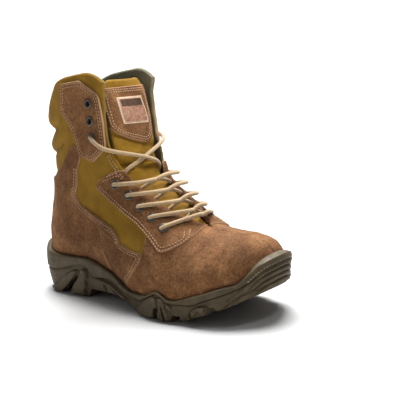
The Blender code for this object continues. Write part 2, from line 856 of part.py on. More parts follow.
MEDIAL_QUARTER = (
    (-0.060, 0.775),
    (0.110, 0.785),
    (0.182, 0.827),
    (0.260, 0.880),
    (0.322, 0.920),
    (0.364, 0.735),
    (0.394, 0.555),
    (0.412, 0.458),
    (0.553, 0.405),
    (0.582, 0.405),
    (0.571, 0.353),
    (0.534, 0.253),
    (0.494, 0.180),
    (0.425, -0.100),
    (-0.060, -0.100),
)
ZIP_TAPE = (
    (0.247, 1.175),
    (0.278, 1.185),
    (0.336, 0.960),
    (0.376, 0.740),
    (0.405, 0.560),
    (0.424, 0.470),
    (0.404, 0.445),
    (0.384, 0.545),
    (0.352, 0.730),
    (0.310, 0.945),
)
ZIP_CHAIN = (
    (0.262, 1.165),
    (0.272, 1.165),
    (0.328, 0.955),
    (0.368, 0.738),
    (0.397, 0.555),
    (0.415, 0.470),
    (0.406, 0.465),
    (0.389, 0.550),
    (0.360, 0.732),
    (0.319, 0.950),
)
ZIP_GUARD = (
    (0.186, 1.335),
    (0.240, 1.370),
    (0.295, 1.390),
    (0.302, 1.245),
    (0.240, 1.210),
    (0.180, 1.190),
)

EYESTAY_THICKNESS = PANEL_THICKNESS + 0.0006
TAPE_THICKNESS = 0.0007
CHAIN_THICKNESS = 0.0010

eyestays = [
    panel("upper_eyestay_lateral", "lateral", UPPER_EYESTAY, (18, 26), EYESTAY_THICKNESS, SUEDE),
    panel("upper_eyestay_medial", "medial", MEDIAL_EYESTAY, (18, 26), EYESTAY_THICKNESS, SUEDE),
    panel("lower_eyestay_lateral", "lateral", LOWER_EYESTAY, (8, 16.1), EYESTAY_THICKNESS, SUEDE),
    panel("lower_eyestay_medial", "medial", LOWER_EYESTAY, (8, 16.1), EYESTAY_THICKNESS, SUEDE),
]
panel("vamp", "both", VAMP, (1, 14), PANEL_THICKNESS, SUEDE, (LOWER_EYESTAY,))
quarter_rows = (9, 22)
lateral_over = (UPPER_EYESTAY, LOWER_EYESTAY)
medial_over = (ZIP_TAPE, MEDIAL_EYESTAY, LOWER_EYESTAY)
panel("heel_quarter_lateral", "lateral", HEEL_QUARTER, quarter_rows, PANEL_THICKNESS, SUEDE, lateral_over)
panel("heel_quarter_medial", "medial", MEDIAL_QUARTER, quarter_rows, PANEL_THICKNESS, SUEDE, medial_over)
panel("zip_tape", "medial", ZIP_TAPE, (10, 24), TAPE_THICKNESS, ZIP, (ZIP_GUARD, MEDIAL_EYESTAY, LOWER_EYESTAY))
chain_base = 2 * GAP + TAPE_THICKNESS
panel("zip_chain", "medial", ZIP_CHAIN, (10, 24), CHAIN_THICKNESS, ZIP, (ZIP_GUARD, MEDIAL_EYESTAY), chain_base)
panel("zip_guard", "medial", ZIP_GUARD, (18, 26), PANEL_THICKNESS, SUEDE, (MEDIAL_EYESTAY,))


# Eyelets, from the top pair down

EYELET_COLUMNS = ("row", "around")
EYELET_TABLE = (
    (23.9, 0.850),
    (22.2, 0.850),
    (20.8, 0.840),
    (14.7, 0.890),
    (13.1, 0.880),
    (12.0, 0.850),
    (11.0, 0.820),
    (10.0, 0.770),
)
EYELET_OUTER = 0.0050
EYELET_INNER = 0.0026
EYELET_BARREL = 0.0033
EYELET_RIM = 0.0011
EYELET_SIDES = 10
EYELET_HOLE = EYELET_BARREL + GAP
EYELET_BASE = EYESTAY_THICKNESS + 2 * GAP

eyelet_holes = bpy.data.collections.new("eyelet_holes")
cutters.children.link(eyelet_holes)
eyelet_holes.hide_render = True


def eyelet_frame(number, side):
    """An eyelet's middle on the upper's outer face, its direction out and two directions across."""
    row, around = EYELET_TABLE[number]
    sign = SIDES[side]
    middle = upper_point(row, around, sign)
    out = upper_point(row, around, sign, True, 0.001) - middle
    out /= np.linalg.norm(out)
    across = np.cross(out, (0.0, 0.0, 1.0))
    across /= np.linalg.norm(across)
    return middle, out, across, np.cross(out, across)


def turned(name, profile, frame, finish, cutter=False):
    """A profile of (radius, height) turned round an eyelet's axis."""
    middle, out, across, up = frame
    points = []
    for radius, height in profile:
        for step in range(EYELET_SIDES):
            turn = 2 * math.pi * step / EYELET_SIDES
            points.append(middle + out * height + (across * math.cos(turn) + up * math.sin(turn)) * radius)
    faces = grid_faces(len(profile), EYELET_SIDES, closed=True)
    if cutter:
        last = (len(profile) - 1) * EYELET_SIDES
        faces.append(tuple(range(EYELET_SIDES)))
        faces.append(tuple(range(last, last + EYELET_SIDES)))
    else:
        count = len(profile)
        for step in range(EYELET_SIDES):
            after = (step + 1) % EYELET_SIDES
            last = (count - 1) * EYELET_SIDES
            faces.append((last + step, last + after, after, step))
    return outward(object_from(name, points, faces, finish, cutter))


def make_eyelets():
    top = EYELET_BASE + EYELET_RIM
    profile = (
        (EYELET_INNER, -UPPER_WALL),
        (EYELET_BARREL, -UPPER_WALL),
        (EYELET_BARREL, EYELET_BASE),
        (EYELET_OUTER, EYELET_BASE),
        (EYELET_OUTER - 0.0006, top),
        (EYELET_INNER + 0.0003, top),
    )
    for side in SIDES:
        for number in range(len(EYELET_TABLE)):
            frame = eyelet_frame(number, side)
            turned(f"eyelet_{side}_{number + 1}", profile, frame, STEEL)
            hole = ((EYELET_HOLE, -0.006), (EYELET_HOLE, 0.006))
            cutter = turned(f"hole_{side}_{number + 1}", hole, frame, None, cutter=True)
            cutters.objects.unlink(cutter)
            eyelet_holes.objects.link(cutter)
    for pierced in [upper, *eyestays]:
        modifier = pierced.modifiers.new("eyelet_holes", "BOOLEAN")
        modifier.operand_type = "COLLECTION"
        modifier.collection = eyelet_holes
        modifier.solver = "EXACT"


make_eyelets()


# Lace

LACE_RADIUS = 0.0020
LACE_OUT = EYELET_BASE + EYELET_RIM + GAP + LACE_RADIUS + 0.0010
LACE_LIFT = 0.0052
EDGE_LIFT = 0.0024
FIRST_LACED = 2

lace_runs = bpy.data.collections.new("lace_runs")
cutters.children.link(lace_runs)
lace_runs.hide_render = True


def row_at_height(height, point_of_row):
    """The row at which a curve of points over the rows reaches this height."""
    low = EYELET_TABLE[-1][0] - 0.1
    high = float(COLLAR_ROW) - 1.5
    for _ in range(24):
        middle = (low + high) / 2
        if point_of_row(middle)[2] < height:
            low = middle
        else:
            high = middle
    return middle


def lace_path(first, last, start, end):
    """A run's middle line, from eyelet number first on the start side to number last on the end side."""
    ends = []
    for number, side in ((first, start), (last, end)):
        row, around = EYELET_TABLE[number]
        ends.append(upper_point(row, around, SIDES[side], True, LACE_OUT))
    heights = np.interp((0.12, 0.22, 0.34, 0.5, 0.66, 0.78, 0.88), (0, 1), (ends[0][2], ends[1][2]))
    points = []
    for index, height in enumerate(heights):
        sign = SIDES[start] if index < 3 else SIDES[end]
        if index in (2, 3, 4):
            across = 0.6 * sign if index != 3 else 0.0
            row = row_at_height(height, lambda at: tongue_point(at, across, -LACE_LIFT))
            points.append(tongue_point(row, across, -LACE_LIFT))
            continue
        around = EYELET_TABLE[first if index < 3 else last][1]
        around = 1.0 if index in (1, 5) else (around + 1) / 2
        row = row_at_height(height, lambda at: upper_point(at, around, sign))
        lift = LACE_OUT + (EDGE_LIFT if around == 1 else EDGE_LIFT / 2)
        points.append(upper_point(row, around, sign, True, lift))
    return [ends[0], *points, ends[1]]


def lace_run(name, points):
    """A round cord through these points."""
    curve = bpy.data.curves.new(name, "CURVE")
    curve.dimensions = "3D"
    curve.bevel_depth = LACE_RADIUS
    curve.bevel_resolution = 1
    curve.use_fill_caps = True
    curve.resolution_u = 2
    spline = curve.splines.new("NURBS")
    spline.points.add(len(points) - 1)
    for place, point in zip(spline.points, points):
        place.co = (*point, 1)
    spline.use_endpoint_u = True
    spline.order_u = 3
    drawn = bpy.data.objects.new(name + "_curve", curve)
    cutters.objects.link(drawn)
    graph = bpy.context.evaluated_depsgraph_get()
    mesh = bpy.data.meshes.new_from_object(drawn.evaluated_get(graph))
    bpy.data.objects.remove(drawn, do_unlink=True)
    work = bmesh.new()
    work.from_mesh(mesh)
    bmesh.ops.remove_doubles(work, verts=work.verts, dist=1e-6)
    work.to_mesh(mesh)
    work.free()
    return outward(bpy.data.objects.new(name, mesh))


def make_lace():
    made = None
    last = len(EYELET_TABLE) - 1
    runs = [("lateral", "medial", number, number + 1) for number in range(FIRST_LACED, last)]
    runs += [("medial", "lateral", number, number + 1) for number in range(FIRST_LACED, last)]
    runs.append(("lateral", "medial", last, last))
    for count, (start, end, first, second) in enumerate(runs):
        run = lace_run(f"lace_run_{count}", lace_path(first, second, start, end))
        if made is None:
            made = run
            made.name = "lace"
            boot.objects.link(made)
            made.data.materials.clear()
            made.data.materials.append(CORD)
            made.data.shade_smooth()
            continue
        lace_runs.objects.link(run)
        run.hide_render = True
        run.display_type = "WIRE"
    modifier = made.modifiers.new("union", "BOOLEAN")
    modifier.operation = "UNION"
    modifier.operand_type = "COLLECTION"
    modifier.collection = lace_runs
    modifier.solver = "EXACT"


make_lace()


# Tongue patch and label

def tongue_sheet(name, rows, bottom_slope, half, base, thickness, finish):
    """A sheet on the tongue's face, from a bottom row that falls towards the medial side to a top row."""
    outer = []
    inner = []
    count = 7
    for index in range(count):
        for step in range(TONGUE_STEPS):
            across = half * (2 * step / (TONGUE_STEPS - 1) - 1)
            low = rows[0] - bottom_slope * (across + 1) / 2
            row = low + (rows[1] - low) * index / (count - 1)
            outer.append(tongue_point(row, across, -base - thickness))
            inner.append(tongue_point(row, across, -base))
    return thick_sheet(name, outer, inner, grid_faces(count, TONGUE_STEPS), finish)


PATCH_THICKNESS = 0.0012
LABEL_THICKNESS = 0.0006
LABEL_HALF = 0.60
patch_base = 2 * GAP
label_base = patch_base + PATCH_THICKNESS + 2 * GAP
tongue_sheet("tongue_patch", (19.9, 24.0), 2.4, 0.99, patch_base, PATCH_THICKNESS, SUEDE)
tongue_sheet("tongue_label", (20.3, 23.2), 0.2, LABEL_HALF, label_base, LABEL_THICKNESS, SUEDE)


# Insole

def make_insole():
    inset = UPPER_WALL + 0.0055
    shrink = (SOLE_LENGTH - 2 * SOLE_INSET - 2 * inset) / SOLE_LENGTH
    stations = 24
    ring = 2 * stations
    points = []
    for lift in (GAP, INSOLE_THICKNESS + GAP):
        for index in range(ring):
            turn = math.pi * index / stations
            x, y = outline_at(turn)
            centre = sole_value("centre", x) * BALL_WIDTH
            half = abs(y - centre) * (1 - (SOLE_INSET + inset) / (0.5 * BALL_WIDTH))
            inner_x = (x - HEEL_X - SOLE_LENGTH / 2) * shrink + HEEL_X + SOLE_LENGTH / 2
            side = -1 if y < centre else 1
            inner_centre = sole_value("centre", inner_x) * BALL_WIDTH
            bed = sole_value("bed", inner_x) * HEEL_LIFT
            points.append((inner_x, inner_centre + side * half, bed + lift))
    faces = grid_faces(2, ring, closed=True)
    for base in (0, ring):
        faces += cap_faces(base, stations)
    return outward(object_from("insole", points, faces, FOAM))


make_insole()


# The origin goes under the middle of the boot's box

for made in [*boot.objects, *cutters.all_objects]:
    made.location = CENTRING
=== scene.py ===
"""A right combat boot of brown suede and mustard fabric on a lugged rubber sole, as in its photo.

Metres, +Z up, toe towards +X, wearer's right side (lateral) towards -Y.
"""

import contextlib
import functools
import json
import math

import bmesh
import bpy
import numpy as np
from mathutils import Matrix, Vector
from mathutils.bvhtree import BVHTree

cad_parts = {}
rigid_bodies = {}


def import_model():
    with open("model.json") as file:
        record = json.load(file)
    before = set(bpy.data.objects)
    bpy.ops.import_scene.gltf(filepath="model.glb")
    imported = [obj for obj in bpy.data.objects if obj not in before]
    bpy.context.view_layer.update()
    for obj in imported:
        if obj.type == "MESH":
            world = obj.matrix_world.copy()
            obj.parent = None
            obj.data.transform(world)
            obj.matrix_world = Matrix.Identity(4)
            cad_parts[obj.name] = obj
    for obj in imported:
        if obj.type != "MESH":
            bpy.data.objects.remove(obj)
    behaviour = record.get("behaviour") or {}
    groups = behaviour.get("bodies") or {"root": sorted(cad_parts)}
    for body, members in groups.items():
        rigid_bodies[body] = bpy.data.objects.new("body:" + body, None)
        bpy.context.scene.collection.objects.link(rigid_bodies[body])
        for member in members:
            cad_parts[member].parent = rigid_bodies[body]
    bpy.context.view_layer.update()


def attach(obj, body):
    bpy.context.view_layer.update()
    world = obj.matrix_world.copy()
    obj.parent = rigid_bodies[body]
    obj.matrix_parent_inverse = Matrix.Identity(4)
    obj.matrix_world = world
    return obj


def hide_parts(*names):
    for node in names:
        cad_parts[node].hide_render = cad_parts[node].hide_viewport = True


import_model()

# Driving sizes
SOLE_LENGTH = 0.2990
BALL_WIDTH = 0.1135
INSTEP_HEIGHT = 0.150
COLLAR_HEIGHT = 0.237
HEEL_LIFT = 0.036
TOE_SPRING = 0.031
HEEL_ROUND = 0.038
TOE_ROUND = 0.046
SOLE_INSET = 0.0055
RIM_INSET = 0.0058
TUCK_SLOPE = 0.30
TUCK_FADE = 0.045
UPPER_WALL = 0.0022
CENTRING = (-0.0003, 0.0027, 0.0)

HEEL_X = -SOLE_LENGTH / 2

# The sole, a row for each station from heel to toe. Along is a share of the length from the
# heel. Centre and half are shares of the ball width, bed of the heel's lift, tread of the toe
# spring.
SOLE_COLUMNS = ("along", "centre", "half", "bed", "tread")
SOLE_TABLE = (
    (0.000, 0.000, 0.340, 1.00, 0.42),
    (0.030, 0.000, 0.340, 1.00, 0.20),
    (0.062, 0.000, 0.341, 0.99, 0.00),
    (0.180, -0.006, 0.341, 0.97, 0.00),
    (0.270, -0.010, 0.341, 0.92, 0.00),
    (0.390, -0.020, 0.350, 0.71, 0.00),
    (0.530, -0.045, 0.410, 0.43, 0.00),
    (0.612, -0.049, 0.462, 0.39, 0.00),
    (0.660, -0.040, 0.490, 0.39, 0.00),
    (0.715, -0.025, 0.500, 0.46, 0.00),
    (0.810, -0.002, 0.485, 0.63, 0.26),
    (0.890, 0.024, 0.448, 0.80, 0.55),
    (0.950, 0.055, 0.415, 0.94, 0.79),
    (1.000, 0.078, 0.390, 1.06, 1.00),
)

# The sole's top edge and the step in its side, as seen from the side. Along is a share of the
# length, height a share of the instep's height.
EDGE_COLUMNS = ("along", "height")
RIM_LINE = (
    (0.000, 0.360), (0.016, 0.350), (0.052, 0.305), (0.180, 0.290), (0.270, 0.293), (0.390, 0.233),
    (0.530, 0.135), (0.600, 0.145), (0.655, 0.190), (0.715, 0.147), (0.810, 0.200), (0.890, 0.253),
    (0.925, 0.270), (0.950, 0.326), (0.965, 0.368), (0.978, 0.396), (1.000, 0.428),
)
STEP_LINE = (
    (0.000, 0.165), (0.108, 0.172), (0.193, 0.210), (0.248, 0.238), (0.288, 0.215), (0.306, 0.160),
    (0.392, 0.172), (0.480, 0.120), (0.560, 0.095), (0.627, 0.150), (0.664, 0.182), (0.705, 0.130),
    (0.784, 0.133), (0.837, 0.172), (0.928, 0.245), (0.958, 0.292), (0.982, 0.347), (1.000, 0.372),
)

# The gaps between the lugs, as seen from the side. Mouth is the middle of the gap at the tread and
# top the middle of its upper end, as shares of the length. Reach is how far in from the sole's
# edge a gap goes, and 0 is a gap right across.
GAP_COLUMNS = ("mouth", "mouth_width", "top", "top_width", "top_height", "reach")
LUG_GAPS = (
    (0.152, 0.018, 0.229, 0.0030, 0.0230, 0.016),
    (0.155, 0.0100, 0.163, 0.0070, 0.0055, 0.000),
    (0.415, 0.0920, 0.400, 0.0600, 0.0110, 0.000),
    (0.651, 0.0075, 0.657, 0.0025, 0.0130, 0.018),
    (0.700, 0.0040, 0.686, 0.0020, 0.0160, 0.014),
    (0.729, 0.0140, 0.733, 0.0090, 0.0075, 0.000),
    (0.794, 0.0040, 0.792, 0.0025, 0.0070, 0.012),
    (0.854, 0.0130, 0.854, 0.0080, 0.0065, 0.000),
    (0.918, 0.0070, 0.920, 0.0040, 0.0060, 0.000),
)

# The upper, a row for each section from the toe's tip over the instep to the collar. A section's
# plane holds a low point (on the sole's bed line, then up the back of the heel) and a high point
# (along the vamp and the instep, then up the front of the shaft). Low_x and high_x are shares of
# the length from the heel. Heights run from 0 at the floor to 1 at the instep's bend and 2 at the
# collar. Half and throat are shares of the ball width, and lean is the high point's side shift.
UPPER_COLUMNS = ("low_x", "low_z", "high_x", "high_z", "half", "top_power", "low_power", "lean", "throat")
UPPER_TABLE = (
    (0.983, 0.256, 0.983, 0.256, 0.000, 2.2, 2.2, 0.076, 0.000),
    (0.979, 0.246, 0.981, 0.315, 0.000, 2.2, 2.2, 0.074, 0.000),
    (0.969, 0.240, 0.976, 0.370, 0.000, 2.2, 2.2, 0.070, 0.000),
    (0.951, 0.232, 0.966, 0.420, 0.000, 2.2, 2.2, 0.068, 0.000),
    (0.923, 0.220, 0.948, 0.463, 0.000, 2.2, 2.2, 0.066, 0.000),
    (0.884, 0.200, 0.915, 0.492, 0.000, 2.3, 2.2, 0.060, 0.000),
    (0.838, 0.172, 0.868, 0.507, 0.430, 2.3, 2.2, 0.050, 0.000),
    (0.785, 0.140, 0.806, 0.515, 0.448, 2.3, 2.2, 0.040, 0.000),
    (0.730, 0.112, 0.748, 0.533, 0.462, 2.3, 2.2, 0.030, 0.000),
    (0.670, 0.096, 0.697, 0.586, 0.462, 2.4, 2.2, 0.020, 0.075),
    (0.610, 0.094, 0.650, 0.640, 0.448, 2.5, 2.2, 0.012, 0.140),
    (0.545, 0.100, 0.604, 0.705, 0.418, 2.7, 2.2, 0.006, 0.175),
    (0.465, 0.136, 0.558, 0.775, 0.390, 2.9, 2.2, 0.002, 0.195),
    (0.375, 0.176, 0.520, 0.842, 0.368, 3.1, 2.2, 0.000, 0.215),
    (0.270, 0.216, 0.500, 0.912, 0.358, 3.4, 2.2, 0.000, 0.243),
    (0.155, 0.232, 0.498, 0.975, 0.353, 3.8, 2.2, 0.000, 0.272),
    (0.060, 0.238, 0.499, 1.055, 0.350, 4.3, 2.2, 0.000, 0.298),
    (0.018, 0.240, 0.500, 1.130, 0.349, 4.7, 2.2, 0.000, 0.314),
    (0.023, 0.393, 0.500, 1.200, 0.348, 5.0, 2.2, 0.000, 0.325),
    (0.042, 0.540, 0.500, 1.290, 0.347, 5.0, 2.2, 0.000, 0.332),
    (0.061, 0.700, 0.500, 1.390, 0.346, 5.0, 2.2, 0.000, 0.336),
    (0.079, 0.925, 0.500, 1.500, 0.346, 5.0, 2.2, 0.000, 0.338),
    (0.063, 1.090, 0.500, 1.590, 0.347, 5.0, 2.2, 0.000, 0.339),
    (0.082, 1.250, 0.500, 1.690, 0.348, 5.0, 2.2, 0.000, 0.340),
    (0.058, 1.430, 0.500, 1.790, 0.352, 5.0, 2.2, 0.000, 0.343),
    (0.070, 1.640, 0.500, 1.930, 0.360, 5.0, 2.2, 0.000, 0.350),
    (0.112, 1.908, 0.496, 2.074, 0.372, 4.6, 2.2, 0.000, 0.358),
)
HEEL_ROW = 17
COLLAR_ROW = len(UPPER_TABLE) - 1
COLLAR_DROP = 0.016
COLLAR_DROP_ROWS = 2.5
COLLAR_PEAK = 0.60
COLLAR_CORNER = 0.86
COLLAR_BACK = 0.36
SECTION_SAMPLES = 181

SIDES = {"lateral": -1, "medial": 1}


def smooth(positions, values, at):
    """A curve through the points that never overshoots them."""
    positions = np.asarray(positions, float)
    values = np.asarray(values, float)
    at = np.clip(np.asarray(at, float), positions[0], positions[-1])
    step = np.diff(positions)
    slope = np.diff(values) / step
    tangent = np.empty(len(values))
    tangent[0] = slope[0]
    tangent[-1] = slope[-1]
    product = slope[:-1] * slope[1:]
    total = slope[:-1] + slope[1:]
    safe = np.where(total == 0, 1, total)
    tangent[1:-1] = np.where(product > 0, 2 * product / safe, 0)
    index = np.clip(np.searchsorted(positions, at) - 1, 0, len(step) - 1)
    part = (at - positions[index]) / step[index]
    rest = 1 - part
    return (
        values[index] * (1 + 2 * part) * rest**2
        + tangent[index] * step[index] * part * rest**2
        + values[index + 1] * part**2 * (3 - 2 * part)
        - tangent[index + 1] * step[index] * part**2 * rest
    )


def unit(vectors):
    """The same directions, one long."""
    return vectors / np.maximum(np.linalg.norm(vectors, axis=-1, keepdims=True), 1e-12)


def lengths_along(line):
    """How far along a line each of its points is."""
    return np.concatenate(([0], np.cumsum(np.linalg.norm(np.diff(line, axis=0), axis=1))))


def along_line(points, lengths, at):
    """The places at these distances along a line, whose points are at these lengths."""
    return np.array([np.interp(at, lengths, points[:, axis]) for axis in range(points.shape[1])]).T


def table_value(table, columns, name, at):
    """A column's value between the rows of a table, whose first column says where they are."""
    rows = np.array(table)
    return smooth(rows[:, 0], rows[:, columns.index(name)], at)


def along_sole(x):
    """A place's share of the sole's length from the heel."""
    return (x - HEEL_X) / SOLE_LENGTH


def sole_value(name, x):
    return table_value(SOLE_TABLE, SOLE_COLUMNS, name, along_sole(x))


def edge_height(line, x):
    return table_value(line, EDGE_COLUMNS, "height", along_sole(x)) * INSTEP_HEIGHT


def upper_value(name, row):
    values = np.array(UPPER_TABLE)[:, UPPER_COLUMNS.index(name)]
    return smooth(np.arange(len(values)), values, row)


def level(share):
    """A height from its share: 0 is the floor, 1 the instep's bend and 2 the collar."""
    low = np.minimum(share, 1) * INSTEP_HEIGHT
    return low + np.maximum(share - 1, 0) * (COLLAR_HEIGHT - INSTEP_HEIGHT)


def outline_half(x):
    """Half the sole's width at x, with its ends rounded."""
    from_heel = np.clip((x - HEEL_X) / HEEL_ROUND, 0, 1)
    from_toe = np.clip((HEEL_X + SOLE_LENGTH - x) / TOE_ROUND, 0, 1)
    ends = np.sqrt(1 - (1 - from_heel) ** 2) * np.sqrt(1 - (1 - from_toe) ** 2)
    return sole_value("half", x) * BALL_WIDTH * ends


def inset_half(x, inset):
    """Half the width at x of the sole's outline drawn in by inset."""
    shrink = 1 - 2 * inset / SOLE_LENGTH
    outside = np.clip(x / shrink, HEEL_X, -HEEL_X)
    return outline_half(outside) * (1 - inset / (sole_value("half", outside) * BALL_WIDTH))


def bed_half(x):
    """Half the upper's width at the bed line."""
    return inset_half(x, SOLE_INSET)


def tucked(points):
    """The same points, drawn in sideways where they would not fit inside the sole's rim."""
    x = points[:, 0]
    centre = sole_value("centre", x) * BALL_WIDTH
    above = np.maximum(0, points[:, 2] - edge_height(RIM_LINE, x))
    limit = inset_half(x, RIM_INSET - TUCK_SLOPE * above)
    wide = np.abs(points[:, 1] - centre)
    over = np.maximum(0, wide - limit)
    points[:, 1] += np.sign(centre - points[:, 1]) * over * np.exp(-above / TUCK_FADE)
    return points


@functools.lru_cache(maxsize=None)
def section(row):
    """The sizes of the upper's section at this row, in metres."""
    low_x = HEEL_X + upper_value("low_x", row) * SOLE_LENGTH
    high_x = HEEL_X + upper_value("high_x", row) * SOLE_LENGTH
    heel = row >= HEEL_ROW
    bed = sole_value("bed", low_x) * HEEL_LIFT
    low_z = np.where(heel, level(upper_value("low_z", row)), bed)
    at_bed = np.where(heel, 0, bed_half(low_x))
    own = upper_value("half", row) * BALL_WIDTH
    swell = 1.03 * at_bed
    half = (own + swell + math.hypot(own - swell, 0.002)) / 2
    return {
        "low": np.array([low_x, level(upper_value("low_z", row)) if row == 0 else low_z]),
        "high": np.array([high_x, level(upper_value("high_z", row))]),
        "at_bed": at_bed,
        "half": max(half, 1e-9),
        "top_power": upper_value("top_power", row),
        "low_power": upper_value("low_power", row),
        "centre": sole_value("centre", low_x) * BALL_WIDTH,
        "lean": upper_value("lean", row) * BALL_WIDTH,
        "throat": upper_value("throat", row) * BALL_WIDTH,
    }


def direction_at(half_share, power, up):
    """The direction from a section's middle to where it is half_share of its half width wide."""
    wide = min(1.0, max(0.0, half_share))
    high = max(0.0, 1 - wide**power) ** (1 / power)
    return math.atan2(up * high, wide)


@functools.lru_cache(maxsize=None)
def half_section(row, side, open_throat):
    """A row's outer face on one side, from the bed or the back to the throat, and its length so far."""
    sizes = section(row)
    if row == 0:
        tip = (sizes["low"][0], sizes["lean"], sizes["low"][1])
        return np.tile(tip, (SECTION_SAMPLES, 1)), np.linspace(0, 1, SECTION_SAMPLES)
    start = direction_at(sizes["at_bed"] / sizes["half"], sizes["low_power"], -1)
    end = math.pi / 2
    if open_throat and sizes["throat"] > 0:
        end = direction_at(sizes["throat"] / sizes["half"], sizes["top_power"], 1)
    direction = np.linspace(start, end, SECTION_SAMPLES)
    power = np.where(direction > 0, sizes["top_power"], sizes["low_power"])
    across = np.cos(direction)
    along = np.sin(direction)
    radius = (np.abs(across) ** power + np.abs(along) ** power) ** (-1 / power)
    lowest = -max(0.0, 1 - (sizes["at_bed"] / sizes["half"]) ** sizes["low_power"])
    lowest = -(abs(lowest) ** (1 / sizes["low_power"]))
    share = (radius * along - lowest) / (1 - lowest)
    middle = sizes["centre"] + (sizes["lean"] - sizes["centre"]) * share
    plane = sizes["low"] + np.outer(share, sizes["high"] - sizes["low"])
    points = np.column_stack((plane[:, 0], middle + side * sizes["half"] * radius * across, plane[:, 1]))
    points[:, 2] -= collar_drop(row, share)
    points = tucked(points)
    return points, lengths_along(points)


def collar_drop(row, share):
    """How far the collar falls below its plane, at its front corners and at the back."""
    fade = np.clip((row - COLLAR_ROW + COLLAR_DROP_ROWS) / COLLAR_DROP_ROWS, 0, 1)
    front = np.clip((share - COLLAR_PEAK) / (COLLAR_CORNER - COLLAR_PEAK), 0, 1)
    back = np.clip((COLLAR_BACK - share) / COLLAR_BACK, 0, 1)
    return COLLAR_DROP * fade * (front**2 + back**2)


def on_upper(row, around, side, open_throat):
    points, so_far = half_section(row, side, open_throat)
    return along_line(points, so_far, around * so_far[-1])


@functools.lru_cache(maxsize=None)
def normal_at(row, around, side, open_throat):
    """The direction out of the upper's outer face."""
    turn = 0.03
    here = min(max(around, turn), 1 - turn)
    across = on_upper(row, here + turn, side, open_throat) - on_upper(row, here - turn, side, open_throat)
    step = 0.2
    before = on_upper(round(max(row - step, 0), 4), here, side, open_throat)
    after = on_upper(round(min(row + step, COLLAR_ROW), 4), here, side, open_throat)
    normal = np.cross(after - before, across) * side
    return unit(normal)


def upper_point(row, around, side, open_throat=True, out=0.0):
    """The upper's outer face at this row, moved out. Around runs from 0 at the bed to 1 at the throat."""
    row = round(float(row), 4)
    point = on_upper(row, around, side, open_throat)
    if not out:
        return point
    if row == 0:
        return point + np.array([out, 0, 0])
    normal = normal_at(row, around, side, open_throat)
    joined_top = around == 1 and (not open_throat or section(row)["throat"] <= 0)
    joined_back = around == 0 and row >= HEEL_ROW
    if joined_top or joined_back:
        normal = unit(normal + normal_at(row, around, -side, open_throat))
    return point + normal * out


# Tongue surface

TONGUE_COLUMNS = ("row", "depth", "half")
TONGUE_TABLE = (
    (8.8, 0.0027, 0.0120), (9.5, 0.0033, 0.0180), (10.5, 0.0040, 0.0235), (12.0, 0.0042, 0.0265),
    (13.0, 0.0050, 0.0285), (14.0, 0.0080, 0.0300), (15.0, 0.0110, 0.0315), (16.0, 0.0135, 0.0315),
    (17.0, 0.0148, 0.0315), (18.0, 0.0158, 0.0315), (19.0, 0.0170, 0.0315), (20.0, 0.0190, 0.0315),
    (21.0, 0.0210, 0.0315), (22.0, 0.0230, 0.0315), (23.0, 0.0250, 0.0310), (24.0, 0.0268, 0.0305),
    (24.8, 0.0282, 0.0300), (25.2, 0.0290, 0.0285),
)
TONGUE_CROWN = 0.0010


def tongue_value(name, row):
    return float(table_value(TONGUE_TABLE, TONGUE_COLUMNS, name, row))


@functools.lru_cache(maxsize=None)
def forward(row):
    """The direction the closed upper faces at the middle of this row."""
    step = 0.2
    after = upper_point(min(row + step, COLLAR_ROW), 1, 1, False)
    along = after - upper_point(max(row - step, 0), 1, 1, False)
    ahead = np.array([along[2], 0, -along[0]])
    return unit(ahead)


def over_throat(row, y, depth):
    """A point under the closed section of this row, depth in from its face, y to one side."""
    row = round(float(row), 4)
    points, so_far = half_section(row, -1 if y < 0 else 1, False)
    wide = np.abs(points[:, 1] - points[-1, 1])
    top = int(np.argmax(wide))
    place = np.interp(-abs(y), -wide[top:], np.arange(top, len(points)))
    found = along_line(points, np.arange(len(points)), place)
    found[2] += collar_drop(row, 1.0)
    return found - forward(row) * depth


def tongue_point(row, across, inward):
    """A point of the tongue. Across runs from -1 at its lateral edge to 1 at its medial edge."""
    y = across * tongue_value("half", row)
    crown = TONGUE_CROWN * across**2
    return over_throat(row, y, tongue_value("depth", row) + crown + inward)


# Outlines seen from the side: a share of the length from the heel, and of the instep's height.
UPPER_EYESTAY = (
    (0.235, 1.515), (0.330, 1.540), (0.404, 1.455), (0.411, 1.415), (0.420, 1.250), (0.421, 1.087),
    (0.408, 1.060), (0.360, 0.985), (0.294, 1.025), (0.282, 1.130), (0.259, 1.235), (0.222, 1.320),
)
MEDIAL_EYESTAY = (
    (0.286, 1.527), (0.350, 1.530), (0.404, 1.455), (0.415, 1.390), (0.422, 1.250), (0.433, 1.070),
    (0.385, 0.955), (0.322, 1.005), (0.310, 1.085), (0.292, 1.230), (0.270, 1.365),
)
LOWER_EYESTAY = (
    (0.361, 0.850), (0.368, 0.872), (0.455, 0.933), (0.472, 0.935), (0.560, 0.960), (0.700, 0.700),
    (0.722, 0.570), (0.736, 0.528), (0.734, 0.505), (0.722, 0.482), (0.690, 0.448), (0.658, 0.430),
    (0.644, 0.450), (0.607, 0.513), (0.547, 0.593), (0.467, 0.673), (0.363, 0.813),
)
VAMP = (
    (0.584, 0.407), (0.600, 0.560), (0.640, 0.700), (0.700, 0.800), (1.050, 0.800), (1.050, -0.100),
    (0.430, -0.100), (0.497, 0.180), (0.537, 0.253), (0.574, 0.353),
)
HEEL_QUARTER = (
    (-0.060, 0.822), (0.096, 0.835), (0.150, 0.872), (0.198, 0.955), (0.240, 1.050), (0.262, 1.100),
    (0.300, 1.060), (0.296, 1.000), (0.279, 0.930), (0.273, 0.820), (0.260, 0.750), (0.276, 0.690),
    (0.326, 0.633), (0.430, 0.547), (0.457, 0.500), (0.470, 0.453), (0.523, 0.420), (0.582, 0.405),
    (0.571, 0.353), (0.534, 0.253), (0.494, 0.180), (0.425, -0.100), (-0.060, -0.100),
)
